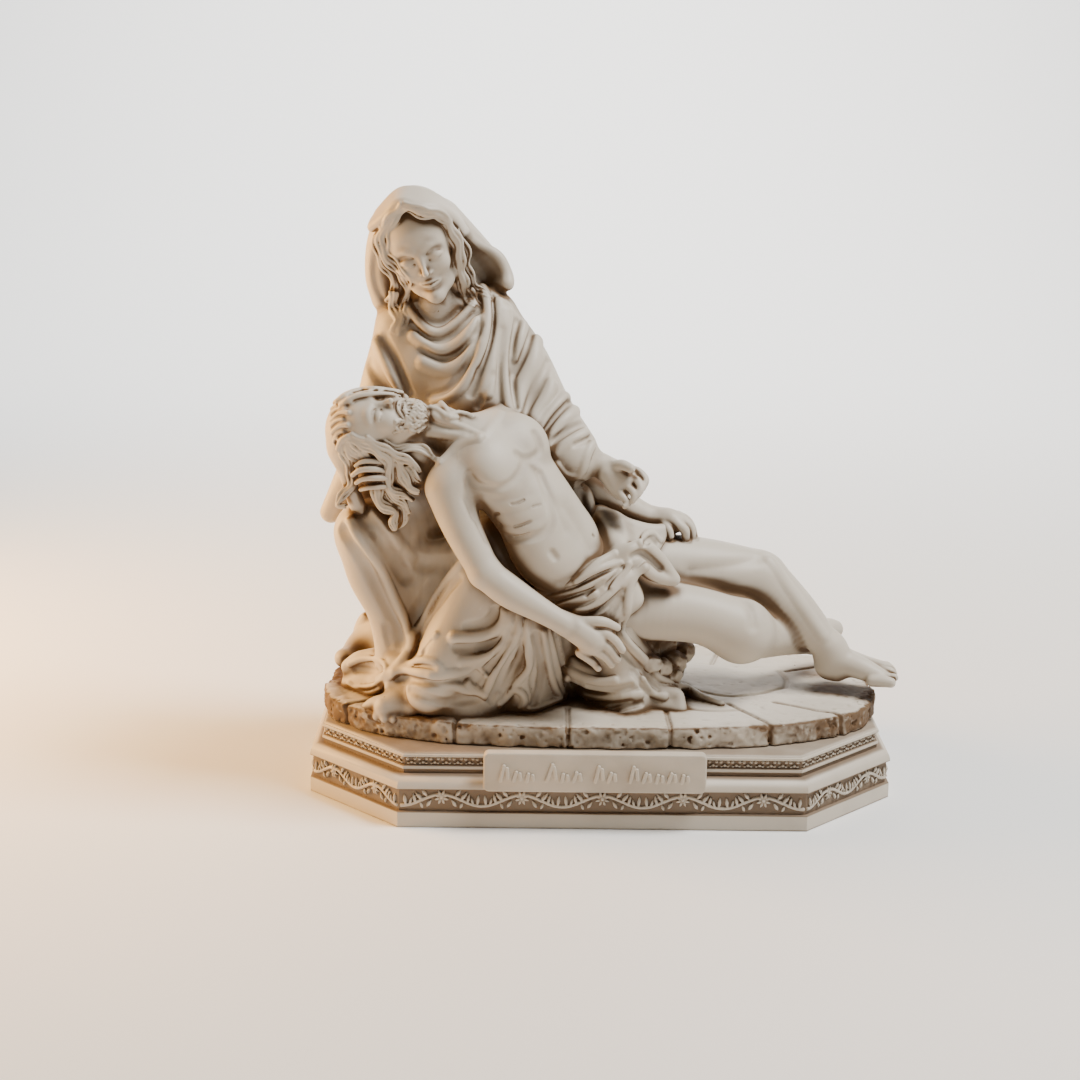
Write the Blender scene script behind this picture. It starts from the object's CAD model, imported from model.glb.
import math

import bpy
import numpy as np
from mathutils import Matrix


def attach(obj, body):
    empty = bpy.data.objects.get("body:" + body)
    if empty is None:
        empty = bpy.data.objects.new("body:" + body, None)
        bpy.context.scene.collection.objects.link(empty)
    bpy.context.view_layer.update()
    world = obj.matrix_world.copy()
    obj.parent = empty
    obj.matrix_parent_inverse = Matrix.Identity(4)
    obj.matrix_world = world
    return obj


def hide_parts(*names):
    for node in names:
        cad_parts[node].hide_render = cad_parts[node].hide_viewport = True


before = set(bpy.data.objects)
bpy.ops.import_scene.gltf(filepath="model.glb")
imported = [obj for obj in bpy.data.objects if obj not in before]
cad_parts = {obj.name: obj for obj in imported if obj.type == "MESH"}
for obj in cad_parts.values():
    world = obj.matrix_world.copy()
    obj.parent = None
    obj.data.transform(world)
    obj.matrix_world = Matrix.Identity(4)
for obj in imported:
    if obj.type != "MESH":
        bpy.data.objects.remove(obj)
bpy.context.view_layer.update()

import openvdb
from mathutils import Matrix, Vector

millimetre = 0.001
coarser = 1.0

# Finish of the cast resin, which every piece shares
resin = {
    "ivory": (0.56, 0.5, 0.415),
    "wash": (0.135, 0.078, 0.036),
    "roughness": 0.5,
    "washRoughness": 0.72,
    "grain": 0.05,
    "grainDepth": 0.0004,
    "grainScale": 900,
    "cloudScale": 45,
    "washFrom": 0.02,
    "washFull": 0.66,
}

# Distance that stands for empty clay, and the least reach of a form round its own surface, in mm
farAway = 12.0
leastReach = 2.5
# The figures are modelled on an upright front drawing seen from this eye, in mm
eyePoint = np.array([-28.0, -873.0, 327.0])


# Joins two distances with a rounded seam of the given blend
def smoothMin(a, b, blend):
    if blend <= 0:
        return np.minimum(a, b)
    h = np.maximum(blend - np.abs(a - b), 0.0) / blend
    return np.minimum(a, b) - h * h * blend * 0.25


def unit(v):
    v = np.asarray(v, float)
    return v / np.linalg.norm(v)


# Clay: a block of cells that holds the distance in mm to the modelled surface
class Clay:
    def __init__(self, low, high, cell):
        self.low = np.array(low, float)
        self.cell = cell
        self.size = (np.ceil((np.array(high, float) - self.low) / cell).astype(int) + 1).tolist()
        self.field = np.full(self.size, farAway, np.float32)
        self.axes = [(l + cell * np.arange(n)).astype(np.float32) for l, n in zip(self.low, self.size)]

    def window(self, low, high):
        spans = []
        for l, a, b, n in zip(self.low, low, high, self.size):
            first = max(0, math.ceil((a - l) / self.cell))
            last = min(n, math.floor((b - l) / self.cell) + 1)
            if last <= first:
                return None
            spans.append(slice(first, last))
        return tuple(spans)

    def places(self, spans, middle=(0, 0, 0)):
        x, y, z = [a[s] - np.float32(m) for a, s, m in zip(self.axes, spans, middle)]
        return x[:, None, None], y[None, :, None], z[None, None, :]

    def at(self, points):
        points = np.asarray(points, float).reshape(-1, 3)
        place = (points - self.low) / self.cell
        top = np.array(self.size) - 2
        outside = ((place < 0) | (place > top + 1)).any(1)
        base = np.clip(np.floor(place).astype(int), 0, top)
        f = np.clip(place - base, 0, 1)
        total = 0
        for corner in range(8):
            d = np.array([corner & 1, corner >> 1 & 1, corner >> 2])
            weight = np.prod(np.where(d, f, 1 - f), axis=1)
            i, j, k = (base + d).T
            total = total + weight * self.field[i, j, k]
        return np.where(outside, farAway, total)

    def normals(self, points, step=1.0):
        points = np.asarray(points, float).reshape(-1, 3)
        slope = np.stack([self.at(points + e) - self.at(points - e) for e in np.eye(3) * step], 1)
        return slope / np.maximum(np.linalg.norm(slope, axis=1, keepdims=True), 1e-6)

    def like(self):
        other = Clay.__new__(Clay)
        other.low, other.cell, other.size, other.axes = self.low, self.cell, self.size, self.axes
        other.field = np.full(self.size, farAway, np.float32)
        return other

    def join(self, other, blend=0.0):
        self.field = smoothMin(self.field, other.field, blend)

    def press(self, spans, away, blend, cutting):
        now = self.field[spans]
        self.field[spans] = -smoothMin(-now, away, blend) if cutting else smoothMin(now, away, blend)


# A smooth line through the given points
def spline(points, steps=4):
    p = np.asarray(points, float)
    if len(p) < 2 or steps <= 1:
        return p
    p = np.vstack([2 * p[0] - p[1], p, 2 * p[-1] - p[-2]])
    out = []
    for i in range(1, len(p) - 2):
        a, b, c, d = p[i - 1 : i + 3]
        for t in np.arange(steps) / steps:
            bend = (2 * a - 5 * b + 4 * c - d) * t * t + (3 * b - a - 3 * c + d) * t**3
            out.append(0.5 * (2 * b + (c - a) * t + bend))
    out.append(p[-2])
    return np.array(out)


# Distance to a chain of round cones [x, y, z, radius] as a window and its distances
def chain(clay, beads, reach):
    beads = np.asarray(beads, float)
    ends, radii = beads[:, :3], beads[:, 3:4]
    spans = clay.window((ends - radii).min(0) - reach, (ends + radii).max(0) + reach)
    if spans is None:
        return None, None
    found = np.full([s.stop - s.start for s in spans], max(farAway, reach), np.float32)
    for a, b in zip(beads[:-1], beads[1:]):
        low = np.minimum(a[:3] - a[3], b[:3] - b[3]) - reach
        high = np.maximum(a[:3] + a[3], b[:3] + b[3]) + reach
        part = clay.window(low, high)
        if part is None:
            continue
        x, y, z = clay.places(part, a[:3])
        dx, dy, dz = b[:3] - a[:3]
        t = np.clip((x * dx + y * dy + z * dz) / (dx * dx + dy * dy + dz * dz + 1e-9), 0, 1)
        px, py, pz = x - t * dx, y - t * dy, z - t * dz
        away = np.sqrt(px * px + py * py + pz * pz) - (a[3] + t * (b[3] - a[3]))
        inner = tuple(slice(p.start - s.start, p.stop - s.start) for p, s in zip(part, spans))
        found[inner] = np.minimum(found[inner], away)
    return spans, found


# Adds or cuts a rounded limb through beads [x, y, z, radius]
def limb(clay, blend, beads, steps=4, cutting=False):
    fine = spline(beads, steps)
    fine[:, 3] = np.maximum(fine[:, 3], 0.05)
    spans, away = chain(clay, fine, max(blend, leastReach))
    if spans is not None:
        clay.press(spans, away, blend, cutting)


# Adds or cuts an ellipsoid of the given half sizes
def mass(clay, blend, middle, half, axes=None, cutting=False):
    axes = np.eye(3) if axes is None else np.asarray(axes, float)
    half = np.asarray(half, float)
    middle = np.asarray(middle, float)
    extent = np.sqrt(((axes.T * half) ** 2).sum(1)) + max(blend, leastReach)
    spans = clay.window(middle - extent, middle + extent)
    if spans is None:
        return
    x, y, z = clay.places(spans, middle)
    k0, k1 = 0, 0
    for (ax, ay, az), h in zip(axes, half):
        q = x * ax + y * ay + z * az
        k0 = k0 + (q / h) ** 2
        k1 = k1 + (q / h**2) ** 2
    k0, k1 = np.sqrt(k0), np.sqrt(k1) + 1e-6
    clay.press(spans, (k0 * (k0 - 1) / k1).astype(np.float32), blend, cutting)


# Pushes the surface out (height above 0) or presses a hollow in (height below 0) along a curve
def fold(clay, width, height, line):
    line = np.asarray(line, float)
    if len(line) < 2:
        return
    beads = np.hstack([line[:, :3], np.zeros((len(line), 1))])
    spans, away = chain(clay, beads, width)
    if spans is None:
        return
    t = np.clip(away / width, 0, 1)
    shape = (1 - t) ** 2 if height < 0 else (1 - t * t) ** 2
    clay.field[spans] -= (height * shape).astype(np.float32)


# A cloth between two edges that sags in the middle
def sheet(clay, radius, blend, sag, edgeA, edgeB, rows=12):
    a, b = spline(edgeA, 6), spline(edgeB, 6)
    longer = max(np.linalg.norm(np.diff(e, axis=0), axis=1).sum() for e in (a, b))
    share = np.linspace(0, 1, max(rows, int(longer / (0.9 * radius))) + 1)

    def along(edge):
        place = share * (len(edge) - 1)
        i = np.minimum(place.astype(int), len(edge) - 2)
        return edge[i] + (edge[i + 1] - edge[i]) * (place - i)[:, None]

    low = np.vstack([a, b]).min(0) - 10 - np.abs(sag)
    high = np.vstack([a, b]).max(0) + 10 + np.abs(sag)
    cloth = clay.like()
    for p, q in zip(along(a), along(b)):
        beads = spline([p, (p + q) / 2 + sag, q], 3)
        spans, away = chain(clay, np.hstack([beads, np.full((len(beads), 1), radius)]), 6)
        if spans is not None:
            cloth.field[spans] = smoothMin(cloth.field[spans], away, 2.5)
    spans = clay.window(low, high)
    if spans is not None:
        clay.field[spans] = smoothMin(clay.field[spans], cloth.field[spans], blend)


# A point of the drawing at its real depth
def spot(point):
    x, z, depth = point[:3]
    reach = (depth - eyePoint[1]) / -eyePoint[1]
    place = [eyePoint[0] + (x - eyePoint[0]) * reach, depth, eyePoint[2] + (z - eyePoint[2]) * reach]
    return np.array(place + list(point[3:]))


def bare(points):
    return [spot(p)[:3] for p in points]


# Evens out a line of found points twice over, but for its ends
def evened(found):
    found = np.array(found).reshape(-1, 4)
    for _ in range(2):
        if len(found) > 3:
            found[1:-1, :3] = 0.5 * found[1:-1, :3] + 0.25 * (found[:-2, :3] + found[2:, :3])
    return found


# Points of the drawing laid on the clay where the eye sees them; a third value is a radius
def laid(clay, points, radius=0.0, lift=0.0, steps=3, near=-95.0):
    fine = spline(points, steps)
    across, upward = fine[:, 0] - eyePoint[0], fine[:, 1] - eyePoint[2]
    ways = np.stack([across, np.full(len(fine), -eyePoint[1]), upward], 1)
    ways /= np.linalg.norm(ways, axis=1, keepdims=True)
    found = []
    stride = 0.4
    for n, way in enumerate(ways):
        travel = (near - eyePoint[1]) / way[1] + np.arange(0, 200, stride)
        away = clay.at(eyePoint + way * travel[:, None])
        hit = int(np.argmax(away < 0))
        if away[hit] >= 0:
            continue
        if hit > 0:
            back = away[hit] / (away[hit] - away[hit - 1])
            travel[hit] -= stride * back
        size = fine[n, 2] if fine.shape[1] > 2 else radius
        found.append([*(eyePoint + way * travel[hit]), size])
    found = evened(found)
    if lift and len(found):
        found[:, :3] += clay.normals(found[:, :3], 1.2) * lift
    return found


# Points of hair at their given depth, or on the clay where that is nearer
def hung(clay, points):
    placed = np.array([spot(p)[:3] for p in points])
    for n, (x, z, depth) in enumerate(points):
        hit = laid(clay, [[x, z, 0]], steps=1)
        if len(hit) and hit[0][1] < placed[n][1] + 0.5:
            reach = (hit[0][1] - eyePoint[1]) / (placed[n][1] - eyePoint[1])
            placed[n] = eyePoint + (placed[n] - eyePoint) * reach
    placed[1:-1, 1] = 0.5 * placed[1:-1, 1] + 0.25 * (placed[:-2, 1] + placed[2:, 1])
    return placed


# Each tress: strands side by side along one path, over a core that fills what lies behind them
def layTresses(clay, tresses, blend=0.5):
    hair = clay.like()
    for count, spread, radius, wave, points in tresses.values():
        path = spline(points, 4)
        travel = np.concatenate([[0], np.cumsum(np.hypot(*np.diff(path[:, :2], axis=0).T))])
        way = np.gradient(path[:, :2], axis=0)
        way /= np.linalg.norm(way, axis=1, keepdims=True) + 1e-6
        across = np.stack([-way[:, 1], way[:, 0]], 1)
        share = travel / travel[-1]
        taper = np.sin(np.pi * np.clip(0.2 + 0.72 * share, 0, 1)) ** 0.7
        core = hung(clay, path) + [0, 0.9 * radius, 0]
        limb(hair, 0.3, np.column_stack([core, 0.36 * spread * taper + 0.3 * radius]), 1)
        for n in range(count):
            shift = (n / max(count - 1, 1) - 0.5) * spread * taper
            shift = shift + wave * np.sin(travel * 0.62 + 0.9 * n)
            line = path.copy()
            line[:, :2] += across * shift[:, None]
            line[:, 2] += 0.5 * math.cos(2.1 * n)
            thick = radius * (1 - 0.55 * share**3) * (1 + 0.12 * math.cos(1.7 * n))
            beads = np.column_stack([hung(clay, line), thick])
            limb(hair, 0.25, beads, 1)
    clay.join(hair, blend)


def layMasses(clay, masses, axes=None, growth=1.0):
    for blend, middle, half in masses.values():
        mass(clay, blend, spot(middle)[:3], np.array(half) * growth, axes)


def layLimbs(clay, limbs, steps=8, cutting=False):
    for blend, points in limbs.values():
        limb(clay, blend, [spot(p) for p in points], steps, cutting=cutting)


def laySheets(clay, sheets, rows=12):
    for radius, blend, sag, edgeA, edgeB in sheets.values():
        sheet(clay, radius, blend, sag, bare(edgeA), bare(edgeB), rows)


def layFolds(clay, folds, strength=1.0):
    for width, height, points in folds.values():
        fold(clay, width, height * strength, laid(clay, points))


def layLocks(clay, locks, blend=1.2, lift=0.25):
    for radius, points in locks.values():
        line = laid(clay, points, radius, lift * radius)
        if len(line) > 1:
            limb(clay, blend, line, 1)


# Points of the back view laid on the clay from behind
def laidBehind(clay, points, far=92.0):
    fine = spline(points, 4)
    found = []
    for x, z in fine:
        travel = far - np.arange(0, 120, 0.5)
        line = np.stack([np.full(len(travel), x), travel, np.full(len(travel), z)], 1)
        hit = int(np.argmax(clay.at(line) < 0))
        if hit > 0:
            found.append([x, travel[hit], z, 0])
    return evened(found)


# A head is set up from its middle, its directions of crown and face, and its height from chin to crown
def headFrame(middle, up, forward, height):
    top = unit(up)
    front = unit(np.array(forward) - top * np.dot(forward, top))
    side = np.cross(front, top)
    axes = np.array([side, front, top])

    def place(shares):
        at = np.asarray(middle) + height * (np.array(shares[:3]) @ axes)
        return np.array([*at, *(height * r for r in shares[3:])])

    return axes, place


# Both faces are of one general design; what differs is given here in shares of the head's height
womanFace = {
    "width": 0.245,
    "cheek": 0.1,
    "jaw": 0.07,
    "chin": 0.07,
    "brow": 0.012,
    "nose": 0.03,
    "lip": 0.023,
}
manFace = {
    "width": 0.26,
    "cheek": 0.085,
    "jaw": 0.08,
    "chin": 0.078,
    "brow": 0.022,
    "nose": 0.037,
    "lip": 0.019,
}


# Side, front and height are shares of the head's height, measured from the middle of the head
def shapeHead(clay, axes, place, height, face):
    def part(softness, at, half, cutting=False):
        mass(clay, softness, place(at)[:3], np.array(half) * height, axes, cutting)

    def bar(softness, *beads, cutting=False):
        limb(clay, softness, [place(b) for b in beads], cutting=cutting)

    def line(width, depth, *points):
        fold(clay, width, depth, spline([place(p)[:3] for p in points], 4))

    part(2, [0, -0.08, 0.13], [0.31, 0.4, 0.37])
    part(3, [0, 0.07, -0.06], [face["width"], 0.265, 0.36])
    part(3, [0, 0.14, 0.2], [0.24, 0.18, 0.2])
    part(2.5, [0, 0.235, -0.425], [face["chin"], 0.07, 0.07])
    for m in (-1, 1):
        jaw = face["jaw"]
        bar(3, [0.225 * m, -0.04, -0.16, jaw], [0.15 * m, 0.12, -0.34, jaw], [0, 0.2, -0.42, jaw])
        part(3, [0.145 * m, 0.2, -0.1], [face["cheek"], 0.09, 0.11])
        part(2.6, [0.135 * m, 0.405, 0.02], [0.11, 0.09, 0.058], True)
        part(1.0, [0.13 * m, 0.25, -0.005], [0.083, 0.074, 0.064])
        brow = face["brow"]
        bar(3, [0.05 * m, 0.305, 0.095, brow], [0.13 * m, 0.298, 0.12, brow], [0.21 * m, 0.235, 0.09, 0.012])
    bar(1.6, [0, 0.308, 0.06, 0.02], [0, 0.345, -0.05, 0.022], [0, 0.385, -0.125, face["nose"]])
    for m in (-1, 1):
        part(1.5, [0.038 * m, 0.325, -0.14], [0.022, 0.034, 0.019])
    part(2, [0, 0.26, -0.262], [0.09, 0.052, 0.055])
    upperLip = [[-0.075, 0.286, -0.25, 0.009], [-0.022, 0.314, -0.238, 0.016]]
    bar(0.9, *upperLip, *[[-x, *rest] for x, *rest in reversed(upperLip)])
    bar(0.9, [-0.052, 0.29, -0.276, 0.012], [0, 0.308, -0.283, face["lip"]], [0.052, 0.29, -0.276, 0.012])
    halfMouth = [[-0.075, 0.29, -0.258], [-0.02, 0.32, -0.256]]
    line(0.9, -0.45, *halfMouth, [0, 0.32, -0.259], *[[-x, *rest] for x, *rest in reversed(halfMouth)])
    line(1.8, -0.5, [-0.06, 0.31, -0.33], [0, 0.325, -0.335], [0.06, 0.31, -0.33])
    for m in (-1, 1):
        lashes = [[0.055, 0.3, -0.02], [0.1, 0.325, -0.038], [0.15, 0.32, -0.04], [0.205, 0.28, -0.022]]
        line(0.8, -0.5, *[[x * m, front, up] for x, front, up in lashes])
        line(0.9, -0.35, [0.06 * m, 0.305, 0.03], [0.13 * m, 0.325, 0.055], [0.205 * m, 0.27, 0.035])
        line(1.2, -0.35, [0.022 * m, 0.37, -0.165], [0.03 * m, 0.36, -0.17])


# Tables of forms, in mm on the drawing. Masses: blend, middle [x, z, depth], half sizes.
# Limbs: blend, beads [x, z, depth, radius]. Sheets: radius, blend, sag, two edges of points [x, z, depth].
# Folds: width, height above the cloth or below it, points [x, z]. Tresses: strands, spread, radius,
# wave, points [x, z, depth]. Locks: radius, points [x, z].

# The seated mother, her dress and mantle
motherMasses = {
  "pelvis": [8, [-69, 118, 14], [31, 26, 26]],
  "rib cage": [8, [-75, 185.5, 5], [26, 18, 28]],
  "seat": [10, [-70, 46, 26], [50, 26, 40]],
}
motherLimbs = {
  "rock under the seat": [8, [[-73.5, 46, -8, 24], [-59.5, 51.5, 10, 32], [-27.5, 61.5, 12, 26],
    [-2, 62, -6, 20]]],
  "trunk": [8, [[-69, 118, 14, 24], [-69, 154.5, 8, 20]]],
  "shoulder line": [8, [[-90, 205, 7, 9.5], [-73, 214, 8, 10.5], [-53, 212.5, 8, 10.5]]],
  "neck": [4, [[-72.5, 212, 5, 9], [-75.5, 223.5, 0, 7.6]]],
  "left sleeve": [6, [[-50, 208, 5, 12], [-38, 190, 3, 13], [-26.5, 169, -6, 12], [-13, 151.5, -15, 10]]],
  "left sleeve hanging": [8, [[-58, 200, -4, 10], [-49, 173, -8, 13], [-32, 152.5, -14, 13],
    [-19.5, 144.5, -18, 9]]],
  "cuff": [4, [[-16, 150, -16, 9.5], [-11.5, 145.5, -18, 9]]],
  "left forearm": [3, [[-11.5, 147, -16, 6.5], [-2.5, 144.5, -18, 5.4], [1.5, 142.5, -19, 4.6]]],
  "cloth at the left side": [10, [[-60, 173, -4, 16], [-28.5, 141.5, -2, 15], [-5.5, 118.5, -2, 11]]],
  "right sleeve": [6, [[-90, 203, 6, 10], [-96.5, 183.5, 5, 11], [-102, 154.5, 2, 12], [-116, 133, 4, 6.5],
    [-122.5, 121, 6, 5]]],
  "right forearm": [5, [[-102, 154.5, 0, 10], [-104, 140.5, -22, 7]]],
  "right thigh": [8, [[-78, 118, 10, 20], [-106, 111, -26, 13.5]]],
  "left thigh": [8, [[-55, 113.5, 6, 20], [-49.5, 101.5, -32, 15]]],
  "right shin": [5, [[-107, 112, -26, 13], [-105, 93, -24, 10.5], [-98, 76, -22, 9], [-94.5, 61, -22, 9],
    [-93, 46.5, -24, 10]]],
  "left shin": [6, [[-49.5, 101.5, -32, 15], [-59.5, 80.5, -38, 12], [-69.5, 56.5, -44, 11.5],
    [-78, 36, -48, 10]]],
  "mantle on the stone behind": [8, [[-92, 61, 38, 8], [-110, 56, 22, 5], [-117.5, 52, 4, 4.5]]],
  "dress lip": [2, [[-116, 48, -7, 2.2], [-111.5, 52.5, -10, 2.3], [-105, 53.5, -13, 2.4],
    [-98.5, 51, -18, 2.6], [-92.5, 55, -24, 3], [-88, 61, -28, 3]]],
  "dress lip at the foot": [2, [[-115.5, 38, -9, 2.2], [-110.5, 39.5, -12, 2.4], [-106, 35.5, -18, 2.4],
    [-102, 37.5, -22, 2.6], [-95.5, 44, -29, 3]]],
  "mantle at the right side": [10, [[-30, 151.5, 12, 13], [-16.5, 125, 12, 17], [-8, 90.5, 16, 22]]],
  "skirt fall 1": [5, [[-40.5, 78, -44, 4.4], [-41, 65.5, -46, 4.6], [-43.5, 54, -46, 4.4],
    [-47.5, 41, -44, 4], [-52, 31.5, -43, 3.4]]],
  "skirt fall 2": [4, [[-46, 56.5, -44, 3], [-51, 50, -44, 3], [-58, 44, -44, 2.8]]],
  "skirt fall 3": [4, [[-32, 70.5, -45, 3.8], [-32.5, 60.5, -46.5, 3.6], [-30.5, 51, -45, 3.4],
    [-36, 42.5, -44, 3.2], [-34.5, 34, -42, 3], [-35.5, 29, -40, 2.6], [-31, 28.5, -39, 2.4],
    [-26.5, 32, -32, 2.4]]],
  "skirt fall 4": [5, [[-25, 69, -41, 4], [-23, 55, -37, 4], [-20.5, 43.5, -29, 4], [-20.5, 35.5, -19, 3.4]]],
}
motherFootLimbs = {
  "right foot": [3, [[-78, 35, -38, 6.5], [-89, 31, -43, 6.6], [-98.5, 28, -46, 5.4]]],
  "right great toe": [2, [[-94.5, 31.5, -44, 4.2], [-103, 29.5, -41, 3.8], [-107, 27.5, -40, 3]]],
  "right toe 2": [1.6, [[-92, 29.5, -45, 3.4], [-99.5, 26, -45, 2.8], [-102.5, 24, -47, 2.2]]],
  "right toe 3": [1.6, [[-89, 28.5, -47, 3.2], [-95.5, 25, -47, 2.6], [-99, 23, -50, 2.1]]],
  "right toe 4": [1.6, [[-87.5, 28, -48, 3], [-92, 24.5, -48, 2.4], [-95, 22.5, -51, 1.9]]],
  "right toe 5": [1.6, [[-85.5, 28, -49, 2.8], [-88.5, 24, -49, 2.2], [-91, 22.5, -51, 1.8]]],
}
motherHandLimbs = {
  "open palm": [2.5, [[0.5, 143, -19, 4.8], [6, 140, -21, 6], [9.5, 137, -22, 6.4]]],
  "open palm, edge": [2, [[2, 140, -22, 4.2], [6, 134.5, -24, 4.2], [8, 131, -25, 3.2]]],
  "open finger 1": [0.5, [[11, 142, -20, 2.3], [15.5, 141, -22, 2.1], [19, 137.5, -25, 1.8],
    [18, 133.5, -28, 1.4]]],
  "open finger 2": [0.5, [[11, 138, -23, 2.2], [15, 137, -26, 2], [17, 133.5, -29, 1.8],
    [16, 130.5, -31, 1.4]]],
  "open finger 3": [0.5, [[9, 135, -25, 2.1], [12.5, 133, -28, 1.9], [14.5, 130, -31, 1.7],
    [13.5, 127.5, -32, 1.3]]],
  "open finger 4": [0.5, [[6.5, 132, -26, 2], [9, 129.5, -29, 1.8], [11.5, 126.5, -31, 1.5],
    [10, 125, -32, 1.2]]],
  "open thumb": [1, [[4, 143, -22, 3], [8.5, 144, -26, 2.5], [12.5, 142.5, -29, 2]]],
  "hair palm": [3, [[-92, 139, -38, 5], [-98.5, 138, -41, 5], [-105.5, 138, -43, 4.4]]],
  "hair finger 1": [0.6, [[-96.5, 143.5, -44, 1.5], [-102, 144.5, -47.5, 1.5], [-107.5, 144.5, -48, 1.35],
    [-111, 142.5, -47, 1.1]]],
  "hair finger 2": [0.6, [[-96.5, 140, -45, 1.55], [-103, 141, -48.5, 1.5], [-109, 140.5, -48.5, 1.35],
    [-112.5, 138, -47, 1.1]]],
  "hair finger 3": [0.6, [[-96, 137, -45, 1.5], [-102, 137, -48.5, 1.45], [-108, 136.5, -48, 1.3],
    [-111, 134.5, -46.5, 1.05]]],
  "hair finger 4": [0.6, [[-96, 133.5, -44, 1.4], [-100.5, 133, -47, 1.35], [-105.5, 132.5, -47, 1.2],
    [-109, 131.5, -45.5, 1]]],
}
motherSheets = {
  "lap between the knees": [6, 5, [0, 7, -4], [[-102.5, 108, -20], [-93.5, 80, -22], [-86.5, 51.5, -30]],
    [[-55, 103, -26], [-66.5, 75.5, -36], [-80.5, 37, -48]]],
  "skirt below the left knee": [4.5, 7, [0, 0.5, 0], [[-59.5, 90, -42], [-43.5, 84.5, -42],
    [-32.5, 83, -40], [-18.5, 83, -34]], [[-73.5, 27, -43], [-54, 26, -44], [-42, 30.5, -38],
    [-32, 29.5, -40], [-24.5, 33, -32], [-15, 37, -20]]],
  "skirt under the hip": [5, 6, [0, 3, 0], [[-18.5, 85.5, -24], [11, 78.5, -26]], [[-15, 37.5, -14],
    [0.5, 36, -18], [21, 34.5, -22]]],
  "cloth by the right shin": [4, 4, [0, 2, 0], [[-92.5, 65.5, -16], [-94.5, 56, -14]], [[-89, 39, -38],
    [-102, 40.5, -18], [-114, 39.5, -8]]],
  "hem over the foot": [2.4, 4, [0, 0, 1], [[-95.5, 49.5, -33], [-81, 47.5, -40], [-59.5, 47, -42]],
    [[-96.5, 38, -40], [-87.5, 31, -44], [-75.5, 25, -46], [-66, 22.5, -50], [-55, 23, -49],
    [-47, 26, -42]]],
  "dress end at the left": [2, 3, [0, 2, 0], [[-116, 48, -7], [-104.5, 52.5, -13], [-92.5, 52.5, -26]],
    [[-115.5, 38.5, -8], [-106.5, 36.5, -15], [-96.5, 43, -27]]],
}
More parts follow.
